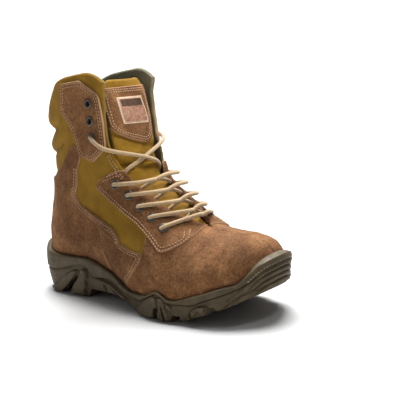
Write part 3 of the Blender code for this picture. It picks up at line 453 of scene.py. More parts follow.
MEDIAL_QUARTER = (
    (-0.060, 0.775), (0.110, 0.785), (0.182, 0.827), (0.260, 0.880), (0.322, 0.920), (0.364, 0.735),
    (0.394, 0.555), (0.412, 0.458), (0.553, 0.405), (0.582, 0.405), (0.571, 0.353), (0.534, 0.253),
    (0.494, 0.180), (0.425, -0.100), (-0.060, -0.100),
)
ZIP_TAPE = (
    (0.247, 1.175), (0.278, 1.185), (0.336, 0.960), (0.376, 0.740), (0.405, 0.560), (0.424, 0.470),
    (0.404, 0.445), (0.384, 0.545), (0.352, 0.730), (0.310, 0.945),
)
ZIP_CHAIN = (
    (0.262, 1.165), (0.272, 1.165), (0.328, 0.955), (0.368, 0.738), (0.397, 0.555), (0.415, 0.470),
    (0.406, 0.465), (0.389, 0.550), (0.360, 0.732), (0.319, 0.950),
)
ZIP_GUARD = (
    (0.186, 1.335), (0.240, 1.370), (0.295, 1.390), (0.302, 1.245), (0.240, 1.210), (0.180, 1.190),
)
SIDE_FLAP = (
    (0.300, 0.672), (0.326, 0.641), (0.395, 0.582), (0.432, 0.553), (0.459, 0.503), (0.472, 0.455),
    (0.455, 0.445), (0.420, 0.478), (0.387, 0.513), (0.350, 0.572), (0.322, 0.618),
)
SEAM_RIDGE = ((0.3746, 0.3900), (0.3829, 0.3933), (0.4080, 0.2500), (0.3997, 0.2467))

# Outlines on the tongue seen from the front, (y, z) in metres
TONGUE_PATCH = (
    (-0.0340, 0.2215), (0.0270, 0.2210), (0.0295, 0.2050), (0.0280, 0.1850), (0.0245, 0.1710),
    (0.0190, 0.1645), (0.0120, 0.1625), (0.0000, 0.1655), (-0.0110, 0.1690), (-0.0250, 0.1755),
    (-0.0340, 0.1840),
)
TONGUE_LABEL = ((-0.0190, 0.2110), (0.0180, 0.2100), (0.0210, 0.1820), (-0.0170, 0.1840))


# Meshes


WELD = 2e-6
SMOOTH_ANGLE = math.radians(50)


@contextlib.contextmanager
def edited(mesh):
    """The mesh opened for work on its points and faces, and written back after it."""
    work = bmesh.new()
    work.from_mesh(mesh)
    yield work
    work.to_mesh(mesh)
    work.free()


def face_outward(mesh):
    """Turns the faces of a closed mesh outwards."""
    with edited(mesh) as work:
        bmesh.ops.recalc_face_normals(work, faces=work.faces)
        if work.calc_volume(signed=True) < 0:
            bmesh.ops.reverse_faces(work, faces=work.faces)


def in_scene(name, data):
    made = bpy.data.objects.new(name, data)
    bpy.context.scene.collection.objects.link(made)
    return made


def build(name, points, faces, finishes, slot_name, nodes=(), face_finish=None, values=None):
    """A mesh piece of the boot in the frame's place, standing for the CAD nodes that it covers."""
    mesh = bpy.data.meshes.new(name)
    mesh.from_pydata([tuple(point) for point in np.asarray(points) + CENTRING], [], faces)
    for finish in finishes:
        mesh.materials.append(finish)
    if face_finish is not None:
        mesh.polygons.foreach_set("material_index", np.asarray(face_finish, np.int32))
    for key, numbers in (values or {}).items():
        mesh.attributes.new(key, "FLOAT", "POINT").data.foreach_set("value", np.asarray(numbers, np.float32))
    with edited(mesh) as work:
        bmesh.ops.remove_doubles(work, verts=work.verts, dist=WELD)
        bmesh.ops.dissolve_degenerate(work, edges=work.edges, dist=WELD)
        loose = [vertex for vertex in work.verts if not vertex.link_faces]
        bmesh.ops.delete(work, geom=loose, context="VERTS")
    mesh.shade_smooth()
    mesh.set_sharp_from_angle(angle=SMOOTH_ANGLE)
    made = in_scene(name, mesh)
    if nodes:
        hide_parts(*nodes)
    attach(made, "root")
    return made


def grid_faces(rows, columns, closed=False, start=0):
    """Triangles between the points of a grid, whose rows are rings when it is closed."""
    faces = []
    for row in range(rows - 1):
        for column in range(columns if closed else columns - 1):
            a = start + row * columns + column
            b = start + row * columns + (column + 1) % columns
            faces += [(a, b, b + columns), (a, b + columns, a + columns)]
    return faces


def cap(start, half_ring):
    """Faces across a ring whose two halves mirror each other."""
    ring = 2 * half_ring
    faces = []
    for index in range(half_ring):
        corners = (index, index + 1, ring - index - 1, (ring - index) % ring)
        faces.append(tuple(start + corner for corner in dict.fromkeys(corners)))
    return faces


def split(data, faces, value):
    """Cuts triangles where a value of their points crosses zero, along straight lines between them."""
    value = np.where(np.abs(value) < 1e-7, 1e-7, value)
    above = value[faces] > 0
    count = above.sum(axis=1)
    mixed = (count == 1) | (count == 2)
    flags = above[mixed]
    lone = np.argmax(flags == (count[mixed] == 1)[:, None], axis=1)
    a, b, c = np.take_along_axis(faces[mixed], (lone[:, None] + np.arange(3)) % 3, axis=1).T
    edges = np.sort(np.vstack((np.column_stack((a, b)), np.column_stack((a, c)))), axis=1)
    unique, index = np.unique(edges, axis=0, return_inverse=True)
    share = (value[unique[:, 0]] / (value[unique[:, 0]] - value[unique[:, 1]]))[:, None]
    added = data[unique[:, 0]] * (1 - share) + data[unique[:, 1]] * share
    index = index.reshape(-1) + len(data)
    p, q = index[: len(a)], index[len(a) :]
    cut = [np.column_stack(corners) for corners in ((a, p, q), (p, b, c), (p, c, q))]
    return np.vstack((data, added)), np.vstack((faces[~mixed], *cut))


def rounded(outline, radius):
    """A closed outline with its corners rounded."""
    points = [np.array(point, float) for point in outline]
    made = []
    for i, corner in enumerate(points):
        before = points[i - 1] - corner
        after = points[(i + 1) % len(points)] - corner
        start = corner + before * min(0.45, radius / np.linalg.norm(before))
        end = corner + after * min(0.45, radius / np.linalg.norm(after))
        for t in (0.0, 0.25, 0.5, 0.75, 1.0):
            made.append(start * (1 - t) ** 2 + corner * 2 * t * (1 - t) + end * t**2)
    return made


def from_line(flat, start, end):
    """How far each flat point is from the straight line between two points."""
    start = np.array(start)
    run = np.array(end) - start
    share = np.clip((flat - start) @ run / max(run @ run, 1e-18), 0, 1)
    return np.linalg.norm(flat - start - share[..., None] * run, axis=-1)


def creased(flat, lines):
    """How far creases and bulges move flat points: each has its line's ends, width and depth."""
    moved = np.zeros(flat.shape[:-1])
    for x0, z0, x1, z1, width, depth in lines:
        moved += depth * np.exp(-((from_line(flat, (x0, z0), (x1, z1)) / width) ** 2))
    return moved


def inside_distance(flat, outline):
    """How far each flat point is in from an outline's edge, negative outside it."""
    best = np.full(len(flat), 1e9)
    inside = np.zeros(len(flat), bool)
    for a, b in zip(outline, outline[1:] + outline[:1]):
        best = np.minimum(best, from_line(flat, a, b))
        if a[1] != b[1]:
            crosses = (a[1] > flat[:, 1]) != (b[1] > flat[:, 1])
            inside ^= crosses & (flat[:, 0] < (b[0] - a[0]) * (flat[:, 1] - a[1]) / (b[1] - a[1]) + a[0])
    return np.where(inside, best, -best)


def kept_above(data, triangles, value_of):
    """A surface cut where a value of its points is zero, less the part where it is below zero."""
    data, triangles = split(data, triangles, value_of(data))
    return data, triangles[value_of(data)[triangles].mean(axis=1) > 0]


def cut_out(data, triangles, axes, shape, profile):
    """The part of a surface inside an outline, cut again where the profile of its edge bends."""

    def inside(rows):
        return inside_distance(rows[:, axes], shape)

    data, triangles = kept_above(data, triangles, inside)
    used, index = np.unique(triangles, return_inverse=True)
    data, triangles = data[used], index.reshape(triangles.shape)
    for place, _ in profile[1:]:
        data, triangles = split(data, triangles, inside(data) - place)
    return data, triangles


def with_skirts(parts):
    """Joins parts of (triangles, upper points, lower points, distance in), closed round their edges."""
    points, faces, edge = [], [], []
    for triangles, upper, lower, inside in parts:
        start = sum(len(block) for block in points)
        count = len(upper)
        corners = triangles.tolist()
        edges = dict.fromkeys(pair for face in corners for pair in zip(face, face[1:] + face[:1]))
        skirt = []
        for a, b in edges:
            if (b, a) not in edges:
                skirt += [(b, a, count + a), (b, count + a, count + b)]
        points += [upper, lower]
        faces += [triangles + start, np.array(skirt) + start]
        edge += [inside, np.zeros(count)]
    return np.vstack(points), np.vstack(faces).tolist(), {"edge": np.concatenate(edge)}


def in_metres(outline):
    return [np.array((HEEL_X + along * SOLE_LENGTH, height * INSTEP_HEIGHT)) for along, height in outline]


# Materials


def put(tree, socket, value):
    """Sets a socket to a value, or links another node's output to it."""
    if isinstance(value, bpy.types.NodeSocket):
        tree.links.new(value, socket)
    else:
        socket.default_value = value


def opaque(colour):
    """Three shares of a colour, or one for a grey, with full cover."""
    return (*colour, 1.0) if isinstance(colour, tuple) else (colour, colour, colour, 1.0)


def new_material(name, roughness, metallic=0.0, sheen=0.0):
    made = bpy.data.materials.new(name)
    made.use_nodes = True
    shader = made.node_tree.nodes["Principled BSDF"]
    values = {"Roughness": roughness, "Metallic": metallic, "Sheen Weight": sheen, "Sheen Roughness": 0.6}
    values["Specular IOR Level"] = 0.5 if metallic else 0.22
    for key, value in values.items():
        shader.inputs[key].default_value = value
    return made, made.node_tree, shader


def node(tree, kind, **inputs):
    made = tree.nodes.new(kind)
    for key, value in inputs.items():
        put(tree, made.inputs[key.replace("_", " ")], value)
    return made


def noise(tree, scale, detail=4.0, roughness=0.6):
    place = tree.nodes.new("ShaderNodeTexCoord").outputs["Object"]
    made = node(tree, "ShaderNodeTexNoise", Vector=place, Scale=scale, Detail=detail, Roughness=roughness)
    return made.outputs["Fac"]


def attribute(tree, name):
    made = tree.nodes.new("ShaderNodeAttribute")
    made.attribute_name = name
    return made.outputs["Fac"]


def map_range(tree, value, start, end, low, high):
    """Low where the value is start, high where it is end, and in step between them."""
    limits = {"From_Min": start, "From_Max": end, "To_Min": low, "To_Max": high}
    made = node(tree, "ShaderNodeMapRange", Value=value, **limits)
    return made.outputs["Result"]


def ramp(tree, factor, *stops):
    """A colour for each factor, between stops of a factor and its colour."""
    made = node(tree, "ShaderNodeValToRGB", Fac=factor)
    elements = made.color_ramp.elements
    for element, (place, colour) in ((elements[0], stops[0]), (elements[1], stops[-1])):
        element.position = place
        element.color = opaque(colour)
    for place, colour in stops[1:-1]:
        elements.new(place).color = opaque(colour)
    return made.outputs["Color"]


def mix(tree, factor, first, second, blend="MIX"):
    made = tree.nodes.new("ShaderNodeMix")
    made.data_type = "RGBA"
    made.blend_type = blend
    for place, value in ((0, factor), (6, first), (7, second)):
        put(tree, made.inputs[place], opaque(value) if isinstance(value, tuple) else value)
    return made.outputs[2]


def bump(tree, shader, height, distance, strength, under=None):
    made = node(tree, "ShaderNodeBump", Height=height, Distance=distance, Strength=strength)
    if under:
        tree.links.new(under, made.inputs["Normal"])
    tree.links.new(made.outputs["Normal"], shader.inputs["Normal"])
    return made.outputs["Normal"]


def calculated(tree, operation, *values):
    made = tree.nodes.new("ShaderNodeMath")
    made.operation = operation
    for place, value in enumerate(values):
        put(tree, made.inputs[place], value)
    return made.outputs[0]


def suede(name, dark, middle, light, cut_edge):
    """Brushed leather: cloudy nap, fine grain and a pale cut edge where the piece has one."""
    made, tree, shader = new_material(name, 0.92, sheen=0.10)
    colour = ramp(tree, noise(tree, 38.0, 6.0, 0.62), (0.30, dark), (0.52, middle), (0.74, light))
    grain = noise(tree, 420.0, 4.0, 0.75)
    scuffed = ramp(tree, grain, (0.36, (0.58, 0.55, 0.53)), (0.66, (1.30, 1.30, 1.28)))
    rubbed = ramp(tree, noise(tree, 15.0, 3.0, 0.5), (0.38, (0.76, 0.74, 0.72)), (0.64, 1.26))
    for over in (scuffed, rubbed):
        colour = mix(tree, 1.0, colour, over, "MULTIPLY")
    edge = map_range(tree, attribute(tree, "edge"), 0.0003, 0.0010, 0.85, 0.0)
    put(tree, shader.inputs["Base Color"], mix(tree, edge, colour, cut_edge))
    put(tree, shader.inputs["Sheen Tint"], opaque(light))
    soft = bump(tree, shader, noise(tree, 130.0, 5.0, 0.6), 0.0012, 0.35)
    bump(tree, shader, noise(tree, 900.0, 4.0, 0.7), 0.0006, 0.8, soft)
    return made


def woven(name, dark, light, pitch):
    """Plain woven cloth with threads crossing at this pitch."""
    made, tree, shader = new_material(name, 0.88, sheen=0.06)
    place = tree.nodes.new("ShaderNodeTexCoord").outputs["Object"]
    waves = []
    for direction in ("X", "Z"):
        wave = node(tree, "ShaderNodeTexWave", Vector=place, Scale=0.31 / pitch, Distortion=0.6)
        wave.bands_direction = direction
        waves.append(wave.outputs["Fac"])
    threads = calculated(tree, "MULTIPLY", *waves)
    colour = ramp(tree, noise(tree, 60.0, 5.0, 0.6), (0.3, dark), (0.7, light))
    colour = mix(tree, 0.35, colour, ramp(tree, threads, (0.0, 0.55), (0.8, 1.15)), "MULTIPLY")
    put(tree, shader.inputs["Base Color"], colour)
    put(tree, shader.inputs["Sheen Tint"], opaque(light))
    soft = bump(tree, shader, noise(tree, 180.0, 4.0, 0.6), 0.0008, 0.3)
    bump(tree, shader, threads, pitch * 0.35, 0.7, soft)
    return made


def rubber(name, dark, light):
    made, tree, shader = new_material(name, 0.55)
    colour = ramp(tree, noise(tree, 90.0, 6.0, 0.65), (0.3, dark), (0.72, light))
    put(tree, shader.inputs["Base Color"], colour)
    put(tree, shader.inputs["Roughness"], ramp(tree, noise(tree, 240.0, 3.0), (0.3, 0.5), (0.7, 0.74)))
    bump(tree, shader, noise(tree, 900.0, 3.0, 0.6), 0.0003, 0.35)
    return made


def plain(name, dark, light, roughness, metallic=0.0, grain=600.0):
    made, tree, shader = new_material(name, roughness, metallic)
    put(tree, shader.inputs["Base Color"], ramp(tree, noise(tree, grain), (0.3, dark), (0.7, light)))
    bump(tree, shader, noise(tree, grain * 2, 3.0), 0.0002, 0.4)
    return made


BRAID_TURNS = 4
BRAID_PITCH = 0.0030


def braided(name, dark, light):
    """Round cord: threads crossing along it, from the piece's own turn and length."""
    made, tree, shader = new_material(name, 0.85, sheen=0.3)
    turn = calculated(tree, "MULTIPLY", attribute(tree, "turn"), BRAID_TURNS * 2 * math.pi)
    run = calculated(tree, "MULTIPLY", attribute(tree, "run"), 2 * math.pi / BRAID_PITCH)
    ways = [calculated(tree, "SINE", calculated(tree, way, turn, run)) for way in ("ADD", "SUBTRACT")]
    threads = calculated(tree, "MULTIPLY_ADD", calculated(tree, "MULTIPLY", *ways), 0.5, 0.5)
    mottled = ramp(tree, noise(tree, 300.0), (0.3, 0.6), (0.7, 1.2))
    colour = mix(tree, 0.4, ramp(tree, threads, (0.15, dark), (0.75, light)), mottled, "MULTIPLY")
    put(tree, shader.inputs["Base Color"], colour)
    bump(tree, shader, threads, 0.0003, 0.4)
    return made


SUEDE = suede(
    "brown_suede", (0.112, 0.047, 0.017), (0.180, 0.083, 0.032), (0.290, 0.148, 0.064), (0.40, 0.235, 0.13)
)
LABEL_SUEDE = suede(
    "label_suede", (0.24, 0.12, 0.075), (0.33, 0.18, 0.12), (0.42, 0.25, 0.17), (0.5, 0.33, 0.22)
)
LABEL_DARK = suede(
    "label_dark", (0.05, 0.028, 0.018), (0.075, 0.042, 0.026), (0.11, 0.06, 0.04), (0.12, 0.07, 0.05)
)
LABEL_EDGE = suede(
    "label_edge", (0.48, 0.33, 0.22), (0.58, 0.42, 0.29), (0.66, 0.50, 0.36), (0.66, 0.50, 0.36)
)
FABRIC = woven("mustard_fabric", (0.205, 0.104, 0.007), (0.290, 0.156, 0.013), 0.0009)
LINING = woven("grey_lining", (0.150, 0.138, 0.086), (0.225, 0.208, 0.136), 0.0007)
TAPE = woven("black_zip", (0.010, 0.009, 0.008), (0.022, 0.019, 0.016), 0.0006)
RUBBER = rubber("olive_rubber", (0.060, 0.043, 0.023), (0.108, 0.079, 0.043))
# Sole rubber for the bumper's moulded stitches, made far paler than the sole: a painted highlight on their
# tops
PAINTED_HIGHLIGHT_RUBBER = plain("rubber_painted_highlight", (0.26, 0.22, 0.16), (0.36, 0.31, 0.23), 0.6)
STEEL = plain("gunmetal", (0.045, 0.038, 0.031), (0.12, 0.103, 0.084), 0.42, 0.7)
TEETH = plain("zip_teeth", (0.012, 0.011, 0.010), (0.035, 0.032, 0.030), 0.45)
THREAD = plain("seam_thread", (0.34, 0.205, 0.115), (0.50, 0.325, 0.20), 0.8, 0.0, 900.0)
CORD = braided("tan_cord", (0.27, 0.175, 0.082), (0.44, 0.31, 0.165))
FOOTBED = woven("footbed_cloth", (0.06, 0.058, 0.04), (0.10, 0.096, 0.07), 0.0008)


# The skin of the upper, as a dense grid on each side

# The last row before the throat opens, and the axes seen from the side and from the front
CLOSED_ROW = 8
FROM_SIDE = (0, 2)
FROM_FRONT = (1, 2)
ROWS = np.round(np.concatenate((np.arange(0, 25.45, 0.1), np.arange(25.5, 26.001, 0.05))), 3)
AROUND = np.concatenate((np.linspace(0, 0.97, 76), (0.978, 0.985, 0.991, 0.996, 1.0)))


def side_grid(sign):
    made = []
    for row in ROWS:
        points, so_far = half_section(float(row), sign, True)
        made.append(along_line(points, so_far, AROUND * so_far[-1]))
    return np.array(made)


def grid_normals(points, sign):
    normal = unit(np.cross(np.gradient(points, axis=0), np.gradient(points, axis=1)) * sign)
    normal[0] = (1, 0, 0)
    return normal


def to_edge(points, axis):
    """The distance of each grid point from the grid's last line on this axis, along the grid."""
    steps = np.linalg.norm(np.diff(points, axis=axis), axis=2)
    total = np.flip(np.cumsum(np.flip(steps, axis), axis=axis), axis)
    empty = np.zeros_like(np.take(total, [0], axis=axis))
    return np.concatenate((total, empty), axis=axis)


# Creases and bulges seen from the side: a line from start to end in metres, the width across it,
# how far it moves the skin, negative for a crease, and its side, where 0 is both.
CREASES = (
    (-0.132, 0.171, -0.096, 0.184, 0.0032, -0.0024, 0),
    (-0.130, 0.146, -0.088, 0.166, 0.0030, -0.0024, 0),
    (-0.128, 0.128, -0.100, 0.140, 0.0028, -0.0018, 0),
    (-0.118, 0.128, -0.078, 0.108, 0.0060, 0.0008, 0),
    (-0.110, 0.096, -0.076, 0.088, 0.0080, -0.0007, 0),
    (0.012, 0.058, 0.040, 0.048, 0.0070, -0.0008, 0),
    (0.046, 0.074, 0.060, 0.052, 0.0060, -0.0007, 0),
    (0.052, 0.050, 0.088, 0.058, 0.0110, -0.0006, 0),
    (-0.058, 0.190, -0.060, 0.160, 0.0060, -0.0005, -1),
)


def swell(points, sign):
    """How far the listed creases and a slight unevenness move the skin out."""
    flat = points[:, FROM_SIDE]
    x, z = flat.T
    moved = 0.00018 * np.sin(x * 210 + 1.7 * sign) * np.sin(z * 170 + x * 90)
    moved += 0.00012 * np.sin(x * 480 - z * 350 + sign)
    return moved + creased(flat, [line for *line, side in CREASES if side in (0, sign)])


SKIN = {}
for sign in SIDES.values():
    grid = side_grid(sign)
    SKIN[sign] = {"points": grid, "normals": grid_normals(grid, sign)}
    SKIN[sign].update(throat=to_edge(grid, 1), collar=to_edge(grid, 0))
for column, joined in ((-1, ROWS <= CLOSED_ROW), (0, ROWS >= HEEL_ROW)):
    total = unit(SKIN[-1]["normals"][joined, column] + SKIN[1]["normals"][joined, column])
    for sign in SIDES.values():
        SKIN[sign]["normals"][joined, column] = total


# Eyelets, from the top pair down
EYELET_TABLE = (
    (23.9, 0.862), (22.2, 0.862), (20.8, 0.852), (14.7, 0.890), (13.1, 0.880), (12.0, 0.850),
    (11.0, 0.820), (10.0, 0.770),
)
EYELET_HOLE = 0.0030
EYELET_REACH = 0.008


def eyelet_frame(number, sign):
    """An eyelet's middle on the skin, its direction out and two directions across."""
    row, around = EYELET_TABLE[number]
    middle = upper_point(row, around, sign)
    out = unit(upper_point(row, around, sign, True, 0.001) - middle)
    across = unit(np.cross(out, (0.0, 0.0, 1.0)))
    return middle, out, across, np.cross(out, across)


EYELETS = {}
for sign in SIDES.values():
    EYELETS[sign] = [eyelet_frame(number, sign) for number in range(len(EYELET_TABLE))]


def from_eyelets(points, sign):
    """The distance of each point from the nearest eyelet's axis on its side."""
    best = np.full(len(points), 1.0)
    for middle, out, _, _ in EYELETS[sign]:
        away = points - middle
        along = away @ out
        radius = np.linalg.norm(away - along[:, None] * out, axis=1)
        best = np.minimum(best, np.where(np.abs(along) < EYELET_REACH, radius, 1.0))
    return best


COLLAR_PAD = 0.0062
THROAT_PAD = 0.0026
PAD_DEPTH = 0.055


def wall_at(collar):
    """The wall's thickness, which grows to the padding near the collar."""
    share = np.clip(1 - collar / PAD_DEPTH, 0, 1)
    return THROAT_PAD + (COLLAR_PAD - THROAT_PAD) * share**2 * (3 - 2 * share)


def roll_off(distance, radius):
    """How far a rounded edge of this radius falls away at a distance from its end."""
    share = 1 - np.clip(distance / radius, 0, 1)
    return radius * (1 - np.sqrt(1 - share**2))


COLUMNS = ("x", "y", "z", "nx", "ny", "nz", "throat", "collar", "open")


def skin_data(sign, low, high):
    """The skin's points between two rows, one line each, with the triangles between them."""
    rows = np.nonzero((ROWS >= low - 1e-6) & (ROWS <= high + 1e-6))[0]
    skin = SKIN[sign]
    opened = (ROWS[rows] > CLOSED_ROW)[:, None] * np.ones(len(AROUND))
    values = np.stack((skin["throat"][rows], skin["collar"][rows], opened), axis=2)
    data = np.concatenate((skin["points"][rows], skin["normals"][rows], values), axis=2)
    faces = np.array(grid_faces(len(rows), len(AROUND)))
    return data.reshape(-1, len(COLUMNS)), faces if sign < 0 else faces[:, ::-1]


def edge_fall(data):
    """How far the skin's rounded throat and collar edges fall below it."""
    throat, collar, opened = data[:, COLUMNS.index("throat") :].T
    radius = wall_at(collar) / 2
    return np.maximum(np.where(opened > 0.5, roll_off(throat, radius), 0), roll_off(collar, radius))


def pierced(data, triangles, sign):
    """The skin's surface outside the eyelets' holes."""
    return kept_above(data, triangles, lambda rows: from_eyelets(rows[:, :3], sign) - EYELET_HOLE)


def make_skin():
    points, faces, finish = [], [], []
    for sign in SIDES.values():
        data, triangles = pierced(*skin_data(sign, 0, COLLAR_ROW), sign)
        place, out = data[:, :3], data[:, 3:6]
        fall = edge_fall(data)
        outer = place + out * (swell(place, sign) - fall)[:, None]
        inner = place + out * (fall - wall_at(data[:, COLUMNS.index("collar")]))[:, None]
        count = len(outer)
        bed = np.nonzero(ROWS <= HEEL_ROW)[0] * len(AROUND)
        strip = []
        for a, b in zip(bed[:-1], bed[1:]):
            strip += [(a, b, b + count), (a, b + count, a + count)]
        start = sum(len(block) for block in points)
        points += [outer, inner]
        faces += [triangles + start, triangles[:, ::-1] + start + count, np.array(strip) + start]
        finish += [0] * len(triangles) + [1] * len(triangles) + [0] * len(strip)
    made = np.vstack(faces).tolist()
    return build("upper_skin", np.vstack(points), made, (FABRIC, LINING), "mustard_fabric", ["upper"], finish)


# The rounded cut edge of a panel, as (distance in, share of its height), and how far a panel
# stands off the skin or reaches into it
PANEL_PROFILE = ((0.0, 0.55), (0.0003, 0.86), (0.0009, 1.0))
LOW_TOP = 0.0016
HIGH_TOP = 0.0027
FLAP_TOP = 0.0033
RIDGE_TOP = 0.0025
GUARD_TOP = 0.0030
TAPE_TOP = 0.0019
PANEL_UNDER = 0.0008


def overlay(name, nodes, sides, outline, rows, top, radius=0.003, holes=False, look=(SUEDE, "brown_suede")):
    """A leather piece on the skin inside an outline seen from the side, with rounded cut edges."""
    shape = rounded(in_metres(outline), radius)
    places, shares = np.array(PANEL_PROFILE).T
    parts = []
    for sign in [SIDES[side] for side in sides]:
        data, triangles = cut_out(*skin_data(sign, *rows), FROM_SIDE, shape, PANEL_PROFILE)
        if holes:
            data, triangles = pierced(data, triangles, sign)
        inside = inside_distance(data[:, FROM_SIDE], shape)
        place, out = data[:, :3], data[:, 3:6]
        skin = swell(place, sign) - edge_fall(data)
        upper = place + out * (skin + top * np.interp(inside, places, shares))[:, None]
        lower = place + out * (skin - PANEL_UNDER)[:, None]
        parts.append((triangles, upper, lower, inside))
    points, faces, values = with_skirts(parts)
    return build(name, points, faces, look[:1], look[1], nodes, None, values)


# The upper and its leather pieces


def eyestay(place, side, outline, rows, radius=0.003):
    """A leather eyestay with its eyelets' holes."""
    name = f"{place}_eyestay_{side}"
    return overlay(name + "_leather", [name], [side], outline, rows, HIGH_TOP, radius, holes=True)


upper_skin = make_skin()
BOTH = tuple(SIDES)
UPPER_STAYS = {"lateral": UPPER_EYESTAY, "medial": MEDIAL_EYESTAY}
QUARTERS = {"lateral": HEEL_QUARTER, "medial": MEDIAL_QUARTER}
vamp = overlay("vamp_leather", ["vamp"], BOTH, VAMP, (0, 14), LOW_TOP)
quarters, upper_stays, lower_stays = {}, {}, {}
for side in BOTH:
    name, node_name = f"quarter_{side}_leather", f"heel_quarter_{side}"
    quarters[side] = overlay(name, [node_name], [side], QUARTERS[side], (9, 23), LOW_TOP)
for side in BOTH:
    upper_stays[side] = eyestay("upper", side, UPPER_STAYS[side], (17, COLLAR_ROW))
for side in BOTH:
    lower_stays[side] = eyestay("lower", side, LOWER_EYESTAY, (8, 16.3), 0.006)
flap = overlay("side_flap_leather", [], ["lateral"], SIDE_FLAP, (9, 20), FLAP_TOP)
overlay("seam_ridge_leather", [], ["lateral"], SEAM_RIDGE, (9, 20), RIDGE_TOP, 0.001)
zip_guard = overlay("zip_guard_leather", ["zip_guard"], ["medial"], ZIP_GUARD, (18, 26), GUARD_TOP)
tape_look = (TAPE, "black_zip")
zip_tape = overlay("zip_tape_cloth", ["zip_tape"], ["medial"], ZIP_TAPE, (10, 24), TAPE_TOP, look=tape_look)


# Stitches, laid on the pieces along their outlines

STITCH_PITCH = 0.0033
STITCH_WIDTH = 0.0010
STITCH_HEIGHT = 0.0007
STITCH_GAP = 0.13
# A stitch along its length, as (share of its length, share of its width, share of its height)
STITCH_SHAPE = ((0.0, 0.5, -0.3), (0.22, 1.0, 0.75), (0.5, 1.0, 1.0), (0.78, 1.0, 0.75), (1.0, 0.5, -0.3))
CAST_STEP = 0.0012
CAST_FROM = 0.25
LONGEST_JUMP = 0.012


class Seams:
    """Collects stitches and makes one piece of them."""

    def __init__(self, name, finish, slot_name):
        self.name, self.finish, self.slot_name = name, finish, slot_name
        self.points, self.faces = [], []

    def stitch(self, start, end, normal):
        across = np.cross(unit(end - start), normal) * STITCH_WIDTH / 2
        base = len(self.points)
        for share, size, lift in STITCH_SHAPE:
            centre = start + (end - start) * share
            top = centre + normal * STITCH_HEIGHT * lift
            self.points += [centre + across * size, top, centre - across * size]
        for ring in range(len(STITCH_SHAPE) - 1):
            for a in (base + ring * 3, base + ring * 3 + 1):
                self.faces.append((a, a + 3, a + 4, a + 1))

    def finish_piece(self):
        return build(self.name, self.points, self.faces, (self.finish,), self.slot_name)


def tree_of(*pieces):
    """A search tree over these pieces, to lay things on them."""
    points, faces = [], []
    for piece in pieces:
        start = len(points)
        points += [vertex.co - Vector(CENTRING) for vertex in piece.data.vertices]
        faces += [tuple(start + corner for corner in face.vertices) for face in piece.data.polygons]
    return BVHTree.FromPolygons(points, faces)


def resampled(line, pitch):
    """Even points along a line, about this far apart."""
    line = np.array(line, float)
    lengths = lengths_along(line)
    count = max(2, round(lengths[-1] / pitch) + 1)
    return along_line(line, lengths, np.linspace(0, lengths[-1], count))


def lay_stitches(seams, tree, line, direction):
    """Even stitches on the skin along a line in space."""
    places = resampled(line, STITCH_PITCH)
    for first, second in zip(places, places[1:]):
        start, end = (np.array(tree.find_nearest(Vector(place))[0]) for place in (first, second))
        normal = tree.find_nearest(Vector((start + end) / 2))[1]
        if normal.dot(direction) > 0:
            normal = -normal
        gap = (end - start) * STITCH_GAP
        seams.stitch(start + gap, end - gap, np.array(normal))


def sew_from(seams, tree, starts, direction):
    """Stitches where rays from these points meet the skin."""
    direction = Vector(direction)
    line = []
    for start in [*starts, None]:
        hit = tree.ray_cast(Vector(start), direction)[0] if start is not None else None
        if line and (hit is None or (hit - line[-1]).length > LONGEST_JUMP):
            if len(line) > 2:
                lay_stitches(seams, tree, line, direction)
            line = []
        if hit is not None:
            line.append(hit)


def sew(seams, tree, line, sign):
    """Stitches on the skin along a line seen from the side, in metres."""
    starts = [(x, sign * CAST_FROM, z) for x, z in resampled(line, CAST_STEP)]
    sew_from(seams, tree, starts, (0, -sign, 0))


def inset_line(outline, inset, first, last):
    """The part of an outline from corner first to corner last, moved in."""
    points = in_metres(outline)
    area = sum(a[0] * b[1] - b[0] * a[1] for a, b in zip(points, points[1:] + points[:1]))
    turn = -1 if area > 0 else 1
    line = []
    for index in range(first, last + 1):
        before, here, after = (points[(index + step) % len(points)] for step in (-1, 0, 1))
        one, two = (turn * unit(np.array((run[1], -run[0]))) for run in (here - before, after - here))
        line.append(here + (one + two) / max(1 + one @ two, 0.6) * inset)
    return line


def sew_rows(seams, tree, sign, outline, insets, first=0, last=None):
    """Rows of stitches this far inside an outline, between two of its corners or all round."""
    for inset in insets:
        sew(seams, tree, inset_line(outline, inset, first, last or len(outline)), sign)


# The double seam of the cloth's throat edge, between the eyestays
THROAT_SEAMS = (0.975, 0.958)
THROAT_SEAM_ROWS = (14.4, 18.6)
seams = Seams("leather_stitches", THREAD, "brown_suede")
for side, sign in SIDES.items():
    tree = tree_of(upper_stays[side], lower_stays[side], quarters[side], vamp, upper_skin)
    sew_rows(seams, tree, sign, UPPER_STAYS[side], (0.0022, 0.0048))
    sew_rows(seams, tree, sign, LOWER_EYESTAY, (0.0022, 0.0048), 6, 19)
    for around in THROAT_SEAMS:
        rows = np.linspace(*THROAT_SEAM_ROWS, 40)
        starts = [upper_point(row, around, sign) + (0, sign * 0.05, 0) for row in rows]
        sew_from(seams, tree, starts, (0, -sign, 0))
    if side == "lateral":
        sew_rows(seams, tree, sign, HEEL_QUARTER, (0.0020, 0.0046), 8, 20)
    else:
        sew_rows(seams, tree, sign, MEDIAL_QUARTER, (0.0020,), 1, 12)
        sew_rows(seams, tree, sign, MEDIAL_QUARTER, (0.0045,), 9, 12)
sew_rows(seams, tree_of(flap), SIDES["lateral"], SIDE_FLAP, (0.0018, 0.0044), 0, 6)
sew_rows(seams, tree_of(zip_guard), SIDES["medial"], ZIP_GUARD, (0.0020,))
seams.finish_piece()


# Zip

TOOTH_PITCH = 0.0016
TOOTH_LENGTH = 0.0006
TOOTH_WIDTH = 0.0017
TOOTH_SHIFT = 0.0007
# A tooth's rings, as (height over the tape, size)
TOOTH_SHAPE = ((-0.0004, 1.0), (0.0008, 1.0), (0.0011, 0.7))


